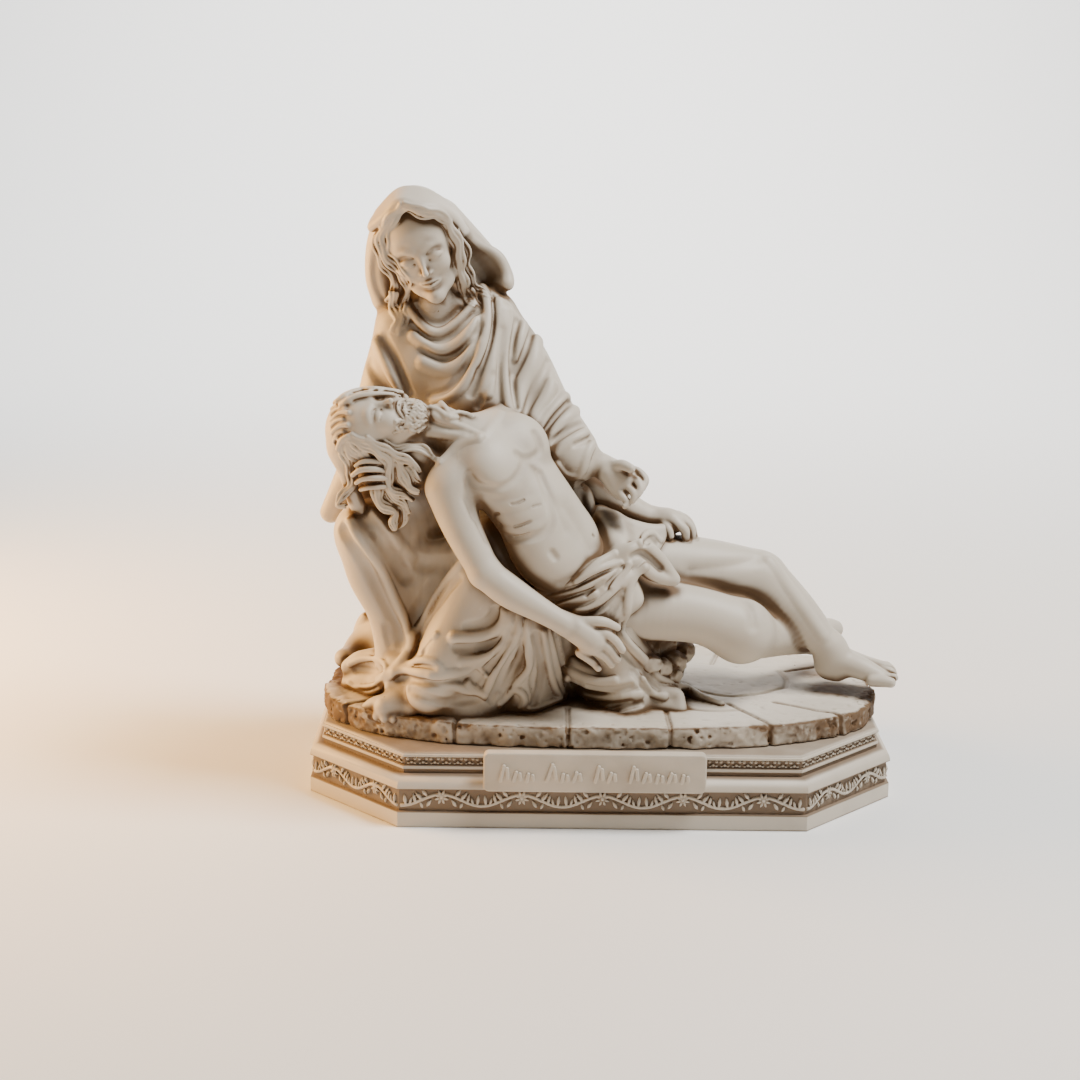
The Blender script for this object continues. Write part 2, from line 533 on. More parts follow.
motherFolds = {
  "neckline": [3.0, 2.6, [[-88.5, 216.5], [-84.5, 209.5], [-79.5, 204.5], [-74, 202.5], [-69, 205],
    [-63.5, 210], [-58, 215.5]]],
  "neckline, hollow above": [2.6, -1.8, [[-84.5, 214.5], [-80, 209.5], [-75, 206.5], [-69.5, 208],
    [-64.5, 213]]],
  "cowl, first hollow": [3.4, -3.0, [[-86.5, 207.5], [-81, 202], [-76, 199.5], [-69.5, 201],
    [-63.5, 205.5], [-58, 211.5]]],
  "cowl, first swag": [3.6, 2.6, [[-84.5, 201.5], [-78.5, 197], [-73, 195], [-67, 197], [-61.5, 201.5],
    [-56, 209.5]]],
  "cowl, second hollow": [3.6, -2.8, [[-80.5, 195], [-75, 192], [-70.5, 191], [-65, 194], [-60, 199.5],
    [-55.5, 206]]],
  "cowl, second swag": [4.5, 1.8, [[-80.5, 189.5], [-74, 187], [-69, 187], [-62.5, 191.5], [-57.5, 199]]],
  "mantle edge": [3.0, 3.4, [[-54.5, 223], [-52, 216], [-52.5, 208], [-54, 199], [-57, 191], [-60, 184.5],
    [-63.5, 178.5], [-69, 174], [-76, 172.5]]],
  "mantle edge, inner hollow": [3.2, -2.8, [[-56.5, 217.5], [-55.5, 208.5], [-57, 200], [-59.5, 192],
    [-62.5, 186.5], [-66, 181], [-70.5, 176.5], [-77.5, 174]]],
  "mantle edge, outer hollow": [2.6, -2.0, [[-50.5, 219.5], [-49.5, 209.5], [-50.5, 200], [-53.5, 191],
    [-56.5, 184.5]]],
  "mantle fold 1": [4, 2.2, [[-47, 216.5], [-46.5, 206.5], [-48.5, 195.5], [-51, 185.5], [-52.5, 176.5]]],
  "mantle hollow 1": [2.8, -2.4, [[-56.5, 186.5], [-57.5, 182], [-59.5, 175.5]]],
  "mantle hollow 2": [2.8, -2.6, [[-49.5, 184.5], [-52, 179.5], [-54.5, 175], [-56.5, 170]]],
  "mantle hollow 3": [3.4, -2.2, [[-45.5, 204.5], [-47, 194.5], [-47, 183], [-46, 171.5]]],
  "mantle fold 2": [4, 2.4, [[-43.5, 212.5], [-44, 200], [-44.5, 185.5], [-43, 171.5], [-41, 164]]],
  "mantle hollow 4": [3.2, -3.6, [[-39, 208], [-41, 200], [-41.5, 191], [-41.5, 184], [-40.5, 176.5],
    [-39.5, 169.5]]],
  "mantle hollow 5": [3.2, -3.4, [[-32.5, 204.5], [-34.5, 197.5], [-37.5, 191], [-40.5, 185]]],
  "mantle fold 3": [3.2, 2.2, [[-36, 207], [-38, 199], [-40, 192]]],
  "mantle fold 4": [4.5, 2.6, [[-30, 200], [-31.5, 191], [-36, 183], [-38.5, 173], [-38.5, 166]]],
  "sleeve hollow 1": [3.4, -3.8, [[-25, 190.5], [-27, 185], [-30, 179.5], [-33, 173], [-35.5, 167],
    [-37, 160.5]]],
  "sleeve fold 1": [3.8, 2.4, [[-23.5, 180.5], [-26, 174], [-30.5, 168], [-33, 159.5]]],
  "sleeve hollow 2": [3.2, -3.4, [[-16.5, 172.5], [-21.5, 167], [-25, 161.5], [-28.5, 156]]],
  "sleeve fold 2": [3.4, 2.6, [[-17, 175], [-22.5, 169.5], [-27, 164], [-30.5, 158]]],
  "sleeve fold 3": [3.2, 2.4, [[-12.5, 169], [-18, 164.5], [-22.5, 159.5], [-26, 154]]],
  "sleeve hollow 3": [3.0, -3.0, [[-10, 162.5], [-15, 160], [-19.5, 157], [-25, 154.5]]],
  "sleeve fold 4": [3.2, 2.2, [[-6, 160], [-11.5, 157], [-17, 153.5], [-21.5, 149.5]]],
  "sleeve hollow 4": [2.6, -2.2, [[-5.5, 157], [-9, 155], [-13, 153.5]]],
  "sleeve lip": [2.6, 2.0, [[-5, 153.5], [-7.5, 148], [-9, 141.5], [-12, 138.5], [-17.5, 139], [-21, 143.5]]],
  "side fold 1": [3.4, 2.6, [[-6.5, 137], [-6, 128], [-4.5, 119.5]]],
  "side hollow 1": [3.0, -2.8, [[-2.5, 138], [-2.5, 129], [-1.5, 119.5]]],
  "side fold 2": [3.4, 2.6, [[0.5, 139], [1, 130], [1, 121.5]]],
  "side hollow 2": [3.0, -2.4, [[-10.5, 136], [-9.5, 128], [-7.5, 121.5]]],
  "right sleeve hollow 1": [4.2, -3.6, [[-98, 199.5], [-94.5, 192.5], [-91, 185], [-87.5, 175.5]]],
  "right sleeve hollow 2": [4.2, -3.2, [[-106, 191], [-102.5, 185], [-98, 179], [-93.5, 175]]],
  "right sleeve fold 1": [4.0, 2.4, [[-101.5, 198.5], [-98, 191.5], [-94.5, 184], [-91, 177]]],
  "right sleeve hollow 3": [4.0, -2.4, [[-106, 203.5], [-107, 196.5], [-105, 192]]],
  "shin edge": [3.6, 4.0, [[-114, 116.5], [-111.5, 110], [-107, 103.5], [-101.5, 96], [-97.5, 87.5],
    [-94.5, 80], [-91, 72.5], [-88, 67], [-86.5, 61], [-87.5, 55.5], [-91.5, 49.5], [-96, 44.5],
    [-101, 41.5]]],
  "shin hollow": [5.5, -6.0, [[-116.5, 112.5], [-113, 106.5], [-108.5, 100], [-104, 93], [-100, 84.5],
    [-96, 76], [-93, 68.5], [-92, 61]]],
  "shin hollow, inner dress": [3.4, -2.2, [[-114.5, 84.5], [-112, 78], [-107, 72.5]]],
  "shin hollow, ankle": [3.0, -1.6, [[-98, 67.5], [-97.5, 63], [-96.5, 59]]],
  "knee hollow": [5.0, -6.0, [[-108.5, 120], [-105, 115.5], [-100, 109], [-95.5, 101.5], [-91.5, 95],
    [-89, 91]]],
  "knee fold": [5.0, 2.0, [[-103, 121], [-97.5, 114.5], [-92.5, 106.5], [-87, 99]]],
  "lap swag": [6.0, -3.0, [[-90.5, 101], [-83.5, 97], [-75, 96.5], [-67, 99]]],
  "lap hollow": [5.5, -5.0, [[-71.5, 93.5], [-76.5, 87], [-80.5, 79], [-84, 72.5], [-85.5, 67]]],
  "lap edge": [3.0, 3.4, [[-62.5, 99], [-68, 92.5], [-73, 85], [-77.5, 77.5], [-81.5, 70.5], [-85, 64],
    [-86.5, 58]]],
  "lap edge, lower hollow": [3.0, -2.6, [[-65, 90.5], [-70, 84], [-74.5, 76.5], [-79, 69.5], [-82, 63]]],
  "pleat 1": [2.0, -2.0, [[-77, 61], [-80, 57.5], [-81.5, 53.5]]],
  "pleat 2": [2.0, 1.6, [[-75, 64], [-78, 59], [-81, 55.5]]],
  "eyelet, rim": [2.6, 2.4, [[-90, 47.5], [-85.5, 50.5], [-81, 51.5], [-76, 50], [-73.5, 47.5]]],
  "eyelet, hollow": [2.2, -2.4, [[-85.5, 48], [-81, 49], [-76, 48]]],
  "pleat a": [2.0, 2.4, [[-40.5, 77], [-42.5, 65.5], [-49.5, 54.5], [-56, 49], [-53, 45]]],
  "pleat a, hollow": [2.2, -2.4, [[-42, 61.5], [-46.5, 53], [-50.5, 46]]],
  "pleat b": [2.0, 2.6, [[-37, 74], [-38.5, 60.5], [-45, 51], [-50.5, 41], [-52.5, 34]]],
  "pleat b, hollow": [2.2, -2.6, [[-39, 51], [-43, 44], [-47.5, 37.5], [-49.5, 31.5]]],
  "pleat c": [2.0, 2.6, [[-33, 71], [-34.5, 58.5], [-31.5, 49], [-36.5, 42.5], [-39.5, 38.5], [-35, 35.5],
    [-34.5, 31.5], [-35.5, 28.5]]],
  "pleat c, hollow": [2.2, -2.6, [[-30, 61.5], [-28.5, 51], [-31.5, 42.5], [-29.5, 35.5], [-30, 31]]],
  "pleat d": [2.2, 2.4, [[-26, 65.5], [-24, 53], [-21.5, 41.5], [-18, 34]]],
  "pleat d, hollow": [2.2, -2.7, [[-21, 67.5], [-18, 54], [-14.5, 41.5], [-13.5, 33.5]]],
  "hem ruffle": [2.0, 2.4, [[-45.5, 30.5], [-42, 34], [-39.5, 38], [-34.5, 35.5], [-34, 31], [-34.5, 28.5],
    [-30, 28], [-25, 30.5], [-18, 33]]],
  "block rim": [1.8, 2.2, [[-115, 49], [-110, 51.5], [-104, 52], [-98.5, 49.5], [-99, 44], [-104, 38.5],
    [-112, 38]]],
  "block hollow": [2.6, -2.4, [[-112, 46.5], [-106.5, 46.5], [-102.5, 45.5]]],
  "block tongue": [1.8, 2.0, [[-115.5, 39.5], [-111.5, 36.5], [-106.5, 34.5], [-101, 37.5], [-95.5, 43.5]]],
  "hem ridge": [3.2, 3.2, [[-94.5, 45.5], [-88, 47], [-81, 44.5], [-72.5, 44.5], [-65, 45.5],
    [-58.5, 48.5], [-54, 53]]],
  "hem ridge, hollow under": [3.4, -3.2, [[-92, 42.5], [-84.5, 42], [-75.5, 41], [-66, 41.5],
    [-59.5, 43.5], [-55, 47]]],
  "knee swag 1": [3.4, 4.0, [[-43.5, 75], [-44, 70], [-47.5, 66], [-53, 63.5], [-60.5, 62.5], [-67, 62.5]]],
  "knee swag 1, hollow under": [3.8, -4.4, [[-42, 65.5], [-46, 61], [-51.5, 58.5], [-58, 57.5], [-65, 57.5]]],
  "knee swag 1, hollow above": [3.8, -3.0, [[-48, 75], [-50.5, 71], [-55, 68.5], [-60.5, 67.5]]],
  "knee swag 2": [3.4, 2.8, [[-46, 58.5], [-49.5, 54.5], [-56, 52], [-63.5, 51]]],
  "skirt hollow 1": [3.0, -3.6, [[-45, 58.5], [-49, 51], [-53, 46], [-57.5, 41]]],
  "hem pleat": [2.6, 2.4, [[-60.5, 41], [-57, 37.5], [-53, 34.5]]],
  "skirt hollow 2": [2.8, -3.6, [[-38.5, 61.5], [-41, 53], [-45, 45], [-47.5, 38.5], [-50.5, 33.5]]],
  "skirt hollow 3": [2.8, -3.2, [[-34.5, 63.5], [-36, 55], [-39.5, 48], [-42, 42.5], [-45.5, 37.5]]],
  "skirt hollow 4": [3.4, -4.2, [[-29.5, 63.5], [-27.5, 56], [-26.5, 47.5], [-27, 38.5], [-29, 33.5]]],
  "skirt edge": [2.4, -3.6, [[-20, 63.5], [-18, 54], [-16.5, 45.5], [-14.5, 36]]],
  "front flap": [3.2, 1.6, [[-78, 43.5], [-68, 40], [-59.5, 36.5], [-53.5, 34.5], [-50.5, 40], [-48.5, 46]]],
  "front flap, hollow": [3.4, -2.8, [[-87.5, 37], [-79, 32.5], [-69.5, 31], [-60.5, 32.5], [-55, 33.5]]],
}
# Falls of the mantle down her back: the first fall [x, y, z, radius] at each level, how far the last
# one lies from it, and how far the middle ones stand out behind
backFall = {
    "folds": 7,
    "blend": 10,
    "levels": [
        {"first": [-92, 14, 210, 9], "across": [36, 0, -8, 0], "bulge": [0, 5, 0, 0]},
        {"first": [-92, 32, 120, 13], "across": [60, 0, 0, 0], "bulge": [0, 8, 0, 0]},
        {"first": [-90, 38, 46, 12], "across": [88, 0, 0, 0], "bulge": [0, 14, 0, 0]},
    ],
}
# How much deeper the scene's folds are than their tables say
foldStrength = 1.25


def makeMother(clay):
    layMasses(clay, motherMasses)
    for n in range(backFall["folds"]):
        t = n / (backFall["folds"] - 1)
        fall = []
        for level in backFall["levels"]:
            first, across, bulge = [np.array(level[part], float) for part in ("first", "across", "bulge")]
            fall.append(first + across * t + bulge * math.sin(math.pi * t))
        limb(clay, backFall["blend"], fall)
    layLimbs(clay, motherLimbs)
    laySheets(clay, motherSheets)
    layFolds(clay, motherFolds, foldStrength)
    layLimbs(clay, motherFootLimbs)
    layLimbs(clay, motherHandLimbs)


# Her head, hair and veil
motherHead = {
    "middle": [-81.2, 240.6, -7],
    "up": [-0.32, -0.3, 0.9],
    "forward": [0.08, -0.9, -0.4],
    "height": 45,
    "skull": [14.2, 17.0, 16.0],
}
veil = {"outside": [17.0, 19.6, 19.2], "opening": [14.6, 17.4, 19.2], "rows": 8, "blend": 2}
hoodLimbs = {
  "veil at the right temple": [6, [[-96, 251, 0, 6.5], [-99, 240, 6, 6.5], [-99.5, 227.5, 9, 6.5],
    [-97, 218, 10, 6.5]]],
  "veil over the shoulder": [6, [[-73, 251.5, 8, 10], [-65.5, 242, 13, 11], [-56.5, 232.5, 14, 10.5],
    [-51, 226.5, 13, 9]]],
  "veil at the nape": [8, [[-84.5, 239, 14, 15], [-80, 221.5, 18, 16], [-73, 209.5, 20, 14]]],
}
hoodCuts = {
  "inside of the veil": [3, [[-68, 243.5, -6, 5], [-61.5, 236.5, -2, 7], [-54.5, 230.5, 1, 8.5],
    [-51, 225.5, 2, 8]]],
  "under the veil": [3, [[-61, 218.5, -4, 5], [-51, 216, -2, 5.5]]],
}
hoodSheets = {
  "veil flare": [1.9, 2.5, [0, 0, 0], [[-68, 251.5, 2], [-58.5, 243, 6], [-48, 237, 7], [-44, 229, 6],
    [-43.5, 224, 3]], [[-66, 249, 10], [-60, 239.5, 14], [-53, 231.5, 15], [-49.5, 226.5, 14],
    [-49.5, 222, 10]]],
  "brow of the veil": [1.6, 2.5, [0, 0, 0], [[-103, 248.5, -14], [-97, 253, -21], [-90.5, 259.5, -25],
    [-82.5, 258, -26], [-75, 257, -23], [-68.5, 253.5, -16], [-64.5, 247, -6]], [[-102.5, 250, -8],
    [-96.5, 258, -13], [-89.5, 264, -15], [-81, 263.5, -16], [-73, 260, -13], [-67, 254, -6],
    [-62.5, 247, 2]]],
}
motherBackFolds = {
  "back fold 1": [6, 3.2, [[-94, 232], [-100, 195], [-104, 150], [-108, 100], [-113, 52]]],
  "back hollow 1": [6, -3.6, [[-89, 230], [-93, 195], [-96, 150], [-99, 100], [-102, 52]]],
  "back fold 2": [6, 3.4, [[-84, 232], [-87, 195], [-88, 150], [-89, 100], [-91, 50]]],
  "back hollow 2": [6, -4.0, [[-79, 230], [-80, 195], [-79, 150], [-78, 100], [-79, 50]]],
  "back fold 3": [6.5, 3.6, [[-74, 230], [-73, 195], [-70, 150], [-66, 100], [-64, 50]]],
  "back hollow 3": [6, -4.0, [[-69, 226], [-66, 190], [-61, 148], [-54, 100], [-50, 50]]],
  "back fold 4": [6.5, 3.6, [[-64, 220], [-58, 188], [-51, 148], [-42, 100], [-36, 50]]],
  "back hollow 4": [6, -3.6, [[-60, 212], [-51, 182], [-42, 144], [-31, 100], [-24, 52]]],
  "back fold 5": [6, 3.2, [[-54, 205], [-44, 176], [-33, 140], [-20, 98], [-12, 54]]],
}
hoodFolds = {
  "veil hollow": [3, -1.4, [[-98, 217], [-101.5, 224], [-102, 233.5], [-100, 243]]],
}
motherTresses = {
  "right, from the parting": [4, 4.2, 0.95, 0.5, [[-89, 258, -24], [-92.5, 254, -24], [-96, 249.5, -21],
    [-98, 243.5, -18], [-97, 237.5, -16], [-93.5, 233, -14], [-90, 229, -11], [-87.5, 224, -7],
    [-87.5, 219.5, -3], [-89.5, 215.5, 0]]],
  "right, behind": [4, 4.0, 0.95, 0.5, [[-97.5, 248.5, -16], [-100, 243.5, -12], [-99, 238, -10],
    [-97, 233, -8], [-94, 228.5, -6], [-92, 224, -4], [-94, 220, -2], [-96.5, 216.5, 0]]],
  "right, on the breast": [3, 3.4, 1.0, 0.5, [[-93.5, 220.5, -4], [-93.5, 216, 0], [-92, 211.5, 2],
    [-91.5, 207.5, 2], [-94, 202.5, 2]]],
  "right, on the breast 2": [2, 2.0, 0.9, 0.5, [[-89.5, 217, 0], [-89.5, 212.5, 2], [-88, 209, 2],
    [-90.5, 205, 2], [-91, 201.5, 2]]],
  "left, over the brow": [4, 4.0, 0.9, 0.4, [[-89, 258, -24], [-84.5, 257, -25], [-79.5, 255, -25],
    [-74.5, 255, -23], [-70.5, 252, -20], [-68, 249, -17]]],
  "left, beside the face": [4, 4.4, 0.95, 0.5, [[-70.5, 251.5, -19], [-67.5, 246, -16], [-65.5, 241, -13],
    [-65, 236, -11], [-65, 231, -8], [-63, 226, -5], [-63, 222, -2], [-61, 218, 0], [-57.5, 215.5, 2]]],
  "left, behind": [3, 3.4, 0.9, 0.5, [[-67, 247, -12], [-63.5, 242.5, -9], [-62, 238, -7], [-62, 233, -5],
    [-60.5, 228.5, -3], [-58, 223.5, 0], [-54.5, 221, 2], [-50.5, 218, 2]]],
  "left, low": [2, 1.8, 0.8, 0.4, [[-60, 222, -2], [-58, 218.5, 0], [-55, 215, 2]]],
}


def makeVeiledHead(clay):
    height = motherHead["height"]
    axes, place = headFrame(spot(motherHead["middle"])[:3], motherHead["up"], motherHead["forward"], height)
    shapeHead(clay, axes, place, height, womanFace)
    mass(clay, 2, place([0, -0.11, 0.17])[:3], motherHead["skull"], axes)
    hood = clay.like()
    mass(hood, 3, place([0, -0.1, 0.14])[:3], veil["outside"], axes)
    mass(hood, 3, place([0, 0.52, -0.12])[:3], veil["opening"], axes, True)
    layLimbs(hood, hoodLimbs)
    layLimbs(hood, hoodCuts, 4, True)
    laySheets(hood, hoodSheets, veil["rows"])
    clay.join(hood, veil["blend"])
    for width, height, points in motherBackFolds.values():
        fold(clay, width, height, laidBehind(clay, points))
    layFolds(clay, hoodFolds)
    layTresses(clay, motherTresses)


# The man laid across her lap
manTrunk = {"neck": [-70, 156, -36], "hips": [1, 87, -34], "across": [0.32, 0.8, 0.55]}
sonMasses = {
  "chest": [6, [-44.5, 142.5, -36], [27, 23, 14.5]],
  "lower ribs": [6, [-32.5, 126.5, -38], [20, 20, 14]],
  "belly": [8, [-21.5, 112.5, -38], [25, 20.5, 12]],
  "waist": [8, [-25, 101.5, -42], [18, 15, 11]],
  "hips": [6, [1, 87, -34], [20, 20, 14.5]],
  "near breast": [5, [-48, 144, -48], [13, 12, 7]],
  "far breast": [5, [-35, 156, -32], [11.5, 10, 6.5]],
}
sonLimbs = {
  "neck": [5, [[-74, 162, -36, 8.5], [-57, 152, -37, 10.5]]],
  "shoulder girdle": [6, [[-66, 138, -48, 10], [-52.5, 146.5, -37, 12], [-44.5, 165, -14, 10]]],
  "near upper arm": [4, [[-69, 132.5, -50, 10.5], [-63.5, 115, -54, 8.4], [-53.5, 94.5, -58, 6.8]]],
  "near forearm": [3, [[-52.5, 93, -58, 6.8], [-41.5, 84.5, -59, 7], [-27.5, 76, -60, 5.4],
    [-16.5, 69.5, -60, 4.6]]],
  "far upper arm": [4, [[-44, 165, -12, 9], [-21.5, 149.5, -4, 7.5], [-0.5, 132.5, -4, 6.6]]],
  "far forearm": [3, [[-0.5, 132.5, -4, 7.2], [14.5, 122.5, -5, 6.6], [27, 118, -5, 4.6]]],
  "near thigh": [5, [[15.5, 77.5, -28, 14.5], [43.5, 74.5, -27, 12.6], [64, 67.5, -25, 13.4]]],
  "near calf": [7, [[65, 66.5, -22, 12.8], [73.5, 65.5, -13, 10.8], [85.5, 65, -1, 8.8], [98, 63, 14, 6.4]]],
  "far thigh": [5, [[16.5, 97.5, -10, 15.5], [45, 96.5, -6, 14], [69.5, 92.5, -2, 13]]],
  "far shin": [4, [[73.5, 90.5, -2, 12.6], [90, 76, -5, 9.6], [105.5, 59, -8, 6.6]]],
}
sonFolds = {
  "near breast, lower edge": [3.4, -1.6, [[-60, 138.5], [-57, 134.5], [-51.5, 133], [-46.5, 133],
    [-41, 135.5], [-37, 140.5], [-35.5, 145]]],
  "far breast, lower edge": [3.2, -1.4, [[-38.5, 148.5], [-34.5, 146], [-30, 148], [-28, 152], [-30.5, 158]]],
  "edge of the ribs": [3.4, -2.2, [[-28, 139.5], [-25.5, 132], [-23.5, 125], [-22.5, 118.5], [-25, 113.5],
    [-30, 110.5], [-37, 109.5], [-46, 109.5]]],
  "rib 1": [4.5, -0.22, [[-50.5, 127.5], [-41.5, 127.5], [-32.5, 130.5]]],
  "rib 2": [4.5, -0.22, [[-49, 121], [-40, 121], [-30, 125]]],
  "rib 3": [4.5, -0.22, [[-47, 115.5], [-38, 115.5], [-28, 119]]],
  "middle line of the belly": [5, -0.7, [[-33, 145], [-27.5, 137], [-21, 125], [-16.5, 114]]],
  "hollow of the belly": [8, -1.2, [[-16.5, 124], [-9, 113], [-5.5, 105.5]]],
  "hollow of the groin": [5, -1.0, [[-18, 88.5], [-8, 93.5], [-0.5, 100]]],
  "neck cord": [3, 1.4, [[-77.5, 167.5], [-72.5, 164], [-66, 161.5], [-60, 158.5], [-55.5, 156.5]]],
  "neck cord, hollow": [2.6, -1.2, [[-78.5, 163.5], [-71.5, 161], [-64.5, 159.5], [-58, 157.5]]],
  "neck cord 2": [3, 1.0, [[-78.5, 157.5], [-70.5, 157], [-62.5, 157]]],
  "near collar bone": [3.2, 1.2, [[-56, 156], [-63.5, 154], [-69, 149], [-73.5, 144.5]]],
  "far collar bone": [3, 0.5, [[-53.5, 157.5], [-49, 163], [-46.5, 167.5]]],
  "hollow of the armpit": [4, -1.4, [[-60.5, 136.5], [-60, 127], [-58, 120]]],
  "cord of the upper arm": [4, -0.9, [[-61.5, 127], [-57, 118], [-52.5, 108.5]]],
  "knee edge": [5, -1.2, [[65.5, 82], [69.5, 76], [70.5, 69.5]]],
  "wound 1": [0.95, -1.55, [[-41, 125.5], [-38, 126], [-35.5, 127.5]]],
  "wound 2": [0.8, -0.7, [[-31.5, 124.5], [-28, 125.5]]],
  "wound 3": [0.95, -1.55, [[-39.5, 115], [-36, 116], [-32.5, 117.5]]],
  "wound 4": [0.95, -1.55, [[-39.5, 110.5], [-36, 111], [-33, 112]]],
  "wound 5": [0.95, -1.55, [[-49, 119], [-49, 120.5], [-47, 121]]],
  "wound 6": [0.95, -1.55, [[-46.5, 116.5], [-46, 116]]],
  "mark": [1.1, -1.5, [[-4, 111.5], [-3.5, 111]]],
  "navel": [2.8, -1.8, [[-22.5, 103], [-21, 101]]],
  "shin edge": [4, 1.0, [[76.5, 101], [89, 84], [102.5, 65]]],
  "thigh hollow": [6, -1.0, [[40.5, 95.5], [58.5, 98], [70, 101]]],
}
handLimbs = {
  "near palm": [3, [[-17.5, 70.5, -56, 4.8], [-10, 66.5, -57, 6], [-3.5, 62, -57, 6.2]]],
  "near thumb": [1, [[-12, 69.5, -56, 3.2], [-4, 70.5, -58, 2.6], [1.5, 70.5, -58, 2.3],
    [7.5, 68, -56, 1.9]]],
  "near finger 1": [1, [[-3.5, 66, -57, 2.9], [2.5, 65, -58, 2.4], [7, 61.5, -57, 2.2],
    [10, 57.5, -57, 1.9]]],
  "near finger 2": [1, [[-4.5, 62, -57, 2.9], [1.5, 60, -58, 2.4], [5, 57, -57, 2.2], [8, 53, -57, 1.9]]],
  "near finger 3": [1, [[-6.5, 58.5, -57, 2.8], [-1, 56.5, -58, 2.3], [2.5, 54, -57, 2.1],
    [5.5, 50.5, -57, 1.8]]],
  "near finger 4": [1, [[-8.5, 56, -56, 2.6], [-5.5, 53.5, -57, 2.1], [-2.5, 51, -56, 1.9],
    [-0.5, 48.5, -57, 1.6]]],
  "far palm": [2.5, [[24.5, 120, -5, 4.6], [29.5, 119.5, -7, 5], [33.5, 118, -8, 4.6]]],
  "far finger 1": [1, [[31.5, 119.5, -10, 2.6], [35, 116.5, -12, 2.3], [37.5, 114, -12.5, 2.1],
    [38, 110.5, -12, 1.8]]],
  "far finger 2": [1, [[33.5, 120.5, -7, 2.5], [37.5, 118, -8.5, 2.3], [40, 115, -9, 2.1],
    [41, 110.5, -9, 1.8]]],
  "far finger 3": [1, [[34, 121, -4, 2.4], [38, 119, -5, 2.2], [40.5, 115.5, -5.5, 2],
    [42, 110.5, -5.5, 1.7]]],
  "far thumb": [1, [[28, 117, -10, 2.4], [30, 114.5, -13, 2.2], [31, 111.5, -14, 1.8]]],
}
footLimbs = {
  "far heel": [4, [[106.5, 59.5, -8, 6.6], [105, 51.5, -8, 6.2], [109, 49, -9, 5.4]]],
  "far instep, inner side": [4, [[109.5, 53.5, -9, 6.2], [120, 50, -14, 5.2], [129.5, 45.5, -18, 4]]],
  "far instep, outer side": [4, [[110.5, 55.5, -2, 5], [121, 52, -6, 4.2], [130, 50, -10, 3.4]]],
  "far great toe": [1, [[126, 44, -20, 2.9], [131.5, 43.5, -22, 2.6], [134.5, 43, -23, 2.3]]],
  "far toe 2": [1, [[127.5, 46.5, -16.5, 2.4], [133, 45.5, -18, 2.1], [136, 45.5, -19, 1.8]]],
  "far toe 3": [1, [[128.5, 48.5, -13, 2.2], [133.5, 48.5, -14.5, 2], [135.5, 47.5, -15, 1.7]]],
  "far toe 4": [1, [[128.5, 50.5, -9.5, 2.1], [133, 50.5, -11, 1.9], [135, 49, -11.5, 1.6]]],
  "far toe 5": [1, [[128, 51.5, -6, 2], [132, 51.5, -7.5, 1.8], [133.5, 50.5, -8, 1.5]]],
  "near foot behind": [3, [[97.5, 63, 15, 5.8], [103.5, 68, 21, 5.4], [107, 68.5, 25, 4.4]]],
}


def makeMan(clay):
    spine = unit(spot(manTrunk["neck"])[:3] - spot(manTrunk["hips"])[:3])
    across = unit(np.array(manTrunk["across"]) - spine * np.dot(manTrunk["across"], spine))
    axes = np.array([spine, across, np.cross(across, spine)])
    layMasses(clay, sonMasses, axes)
    layLimbs(clay, sonLimbs)
    layFolds(clay, sonFolds, foldStrength)
    layLimbs(clay, handLimbs)
    layLimbs(clay, footLimbs)


# His head, hair and beard
manHead = {
    "middle": [-100.5, 162, -38],
    "up": [-0.99, -0.02, 0.06],
    "forward": [0.03, -0.62, 0.78],
    "height": 38,
    "skull": [14.8, 16.6, 16.2],
    "bearded": [0.2, 0.165, 0.19],
}
hairLimbs = {
  "hair at the crown": [5, [[-112.5, 170.5, -30, 5], [-115, 161.5, -34, 7], [-114.5, 152.5, -36, 8]]],
  "hair falling from the crown": [6, [[-110, 151.5, -34, 9], [-101, 141.5, -34, 7.5], [-95, 129.5, -36, 6],
    [-90.5, 119.5, -38, 3.5]]],
  "hair over the arm": [6, [[-103.5, 151.5, -34, 8], [-93, 144.5, -38, 8], [-86, 137, -42, 6]]],
  "hair at the neck": [5, [[-95, 151.5, -38, 6], [-82, 148, -41, 5.5], [-75, 144.5, -41, 4]]],
  "hair at the far side": [4, [[-115, 170.5, -28, 4], [-108, 173.5, -25, 4.5], [-98, 174, -24, 4],
    [-90, 172.5, -27, 3]]],
  "hair left of the hand": [5, [[-116.5, 148.5, -36, 5], [-115, 140.5, -37, 4], [-113.5, 132.5, -37, 3.2],
    [-111, 125.5, -34, 3.6], [-108.5, 120, -28, 3]]],
}
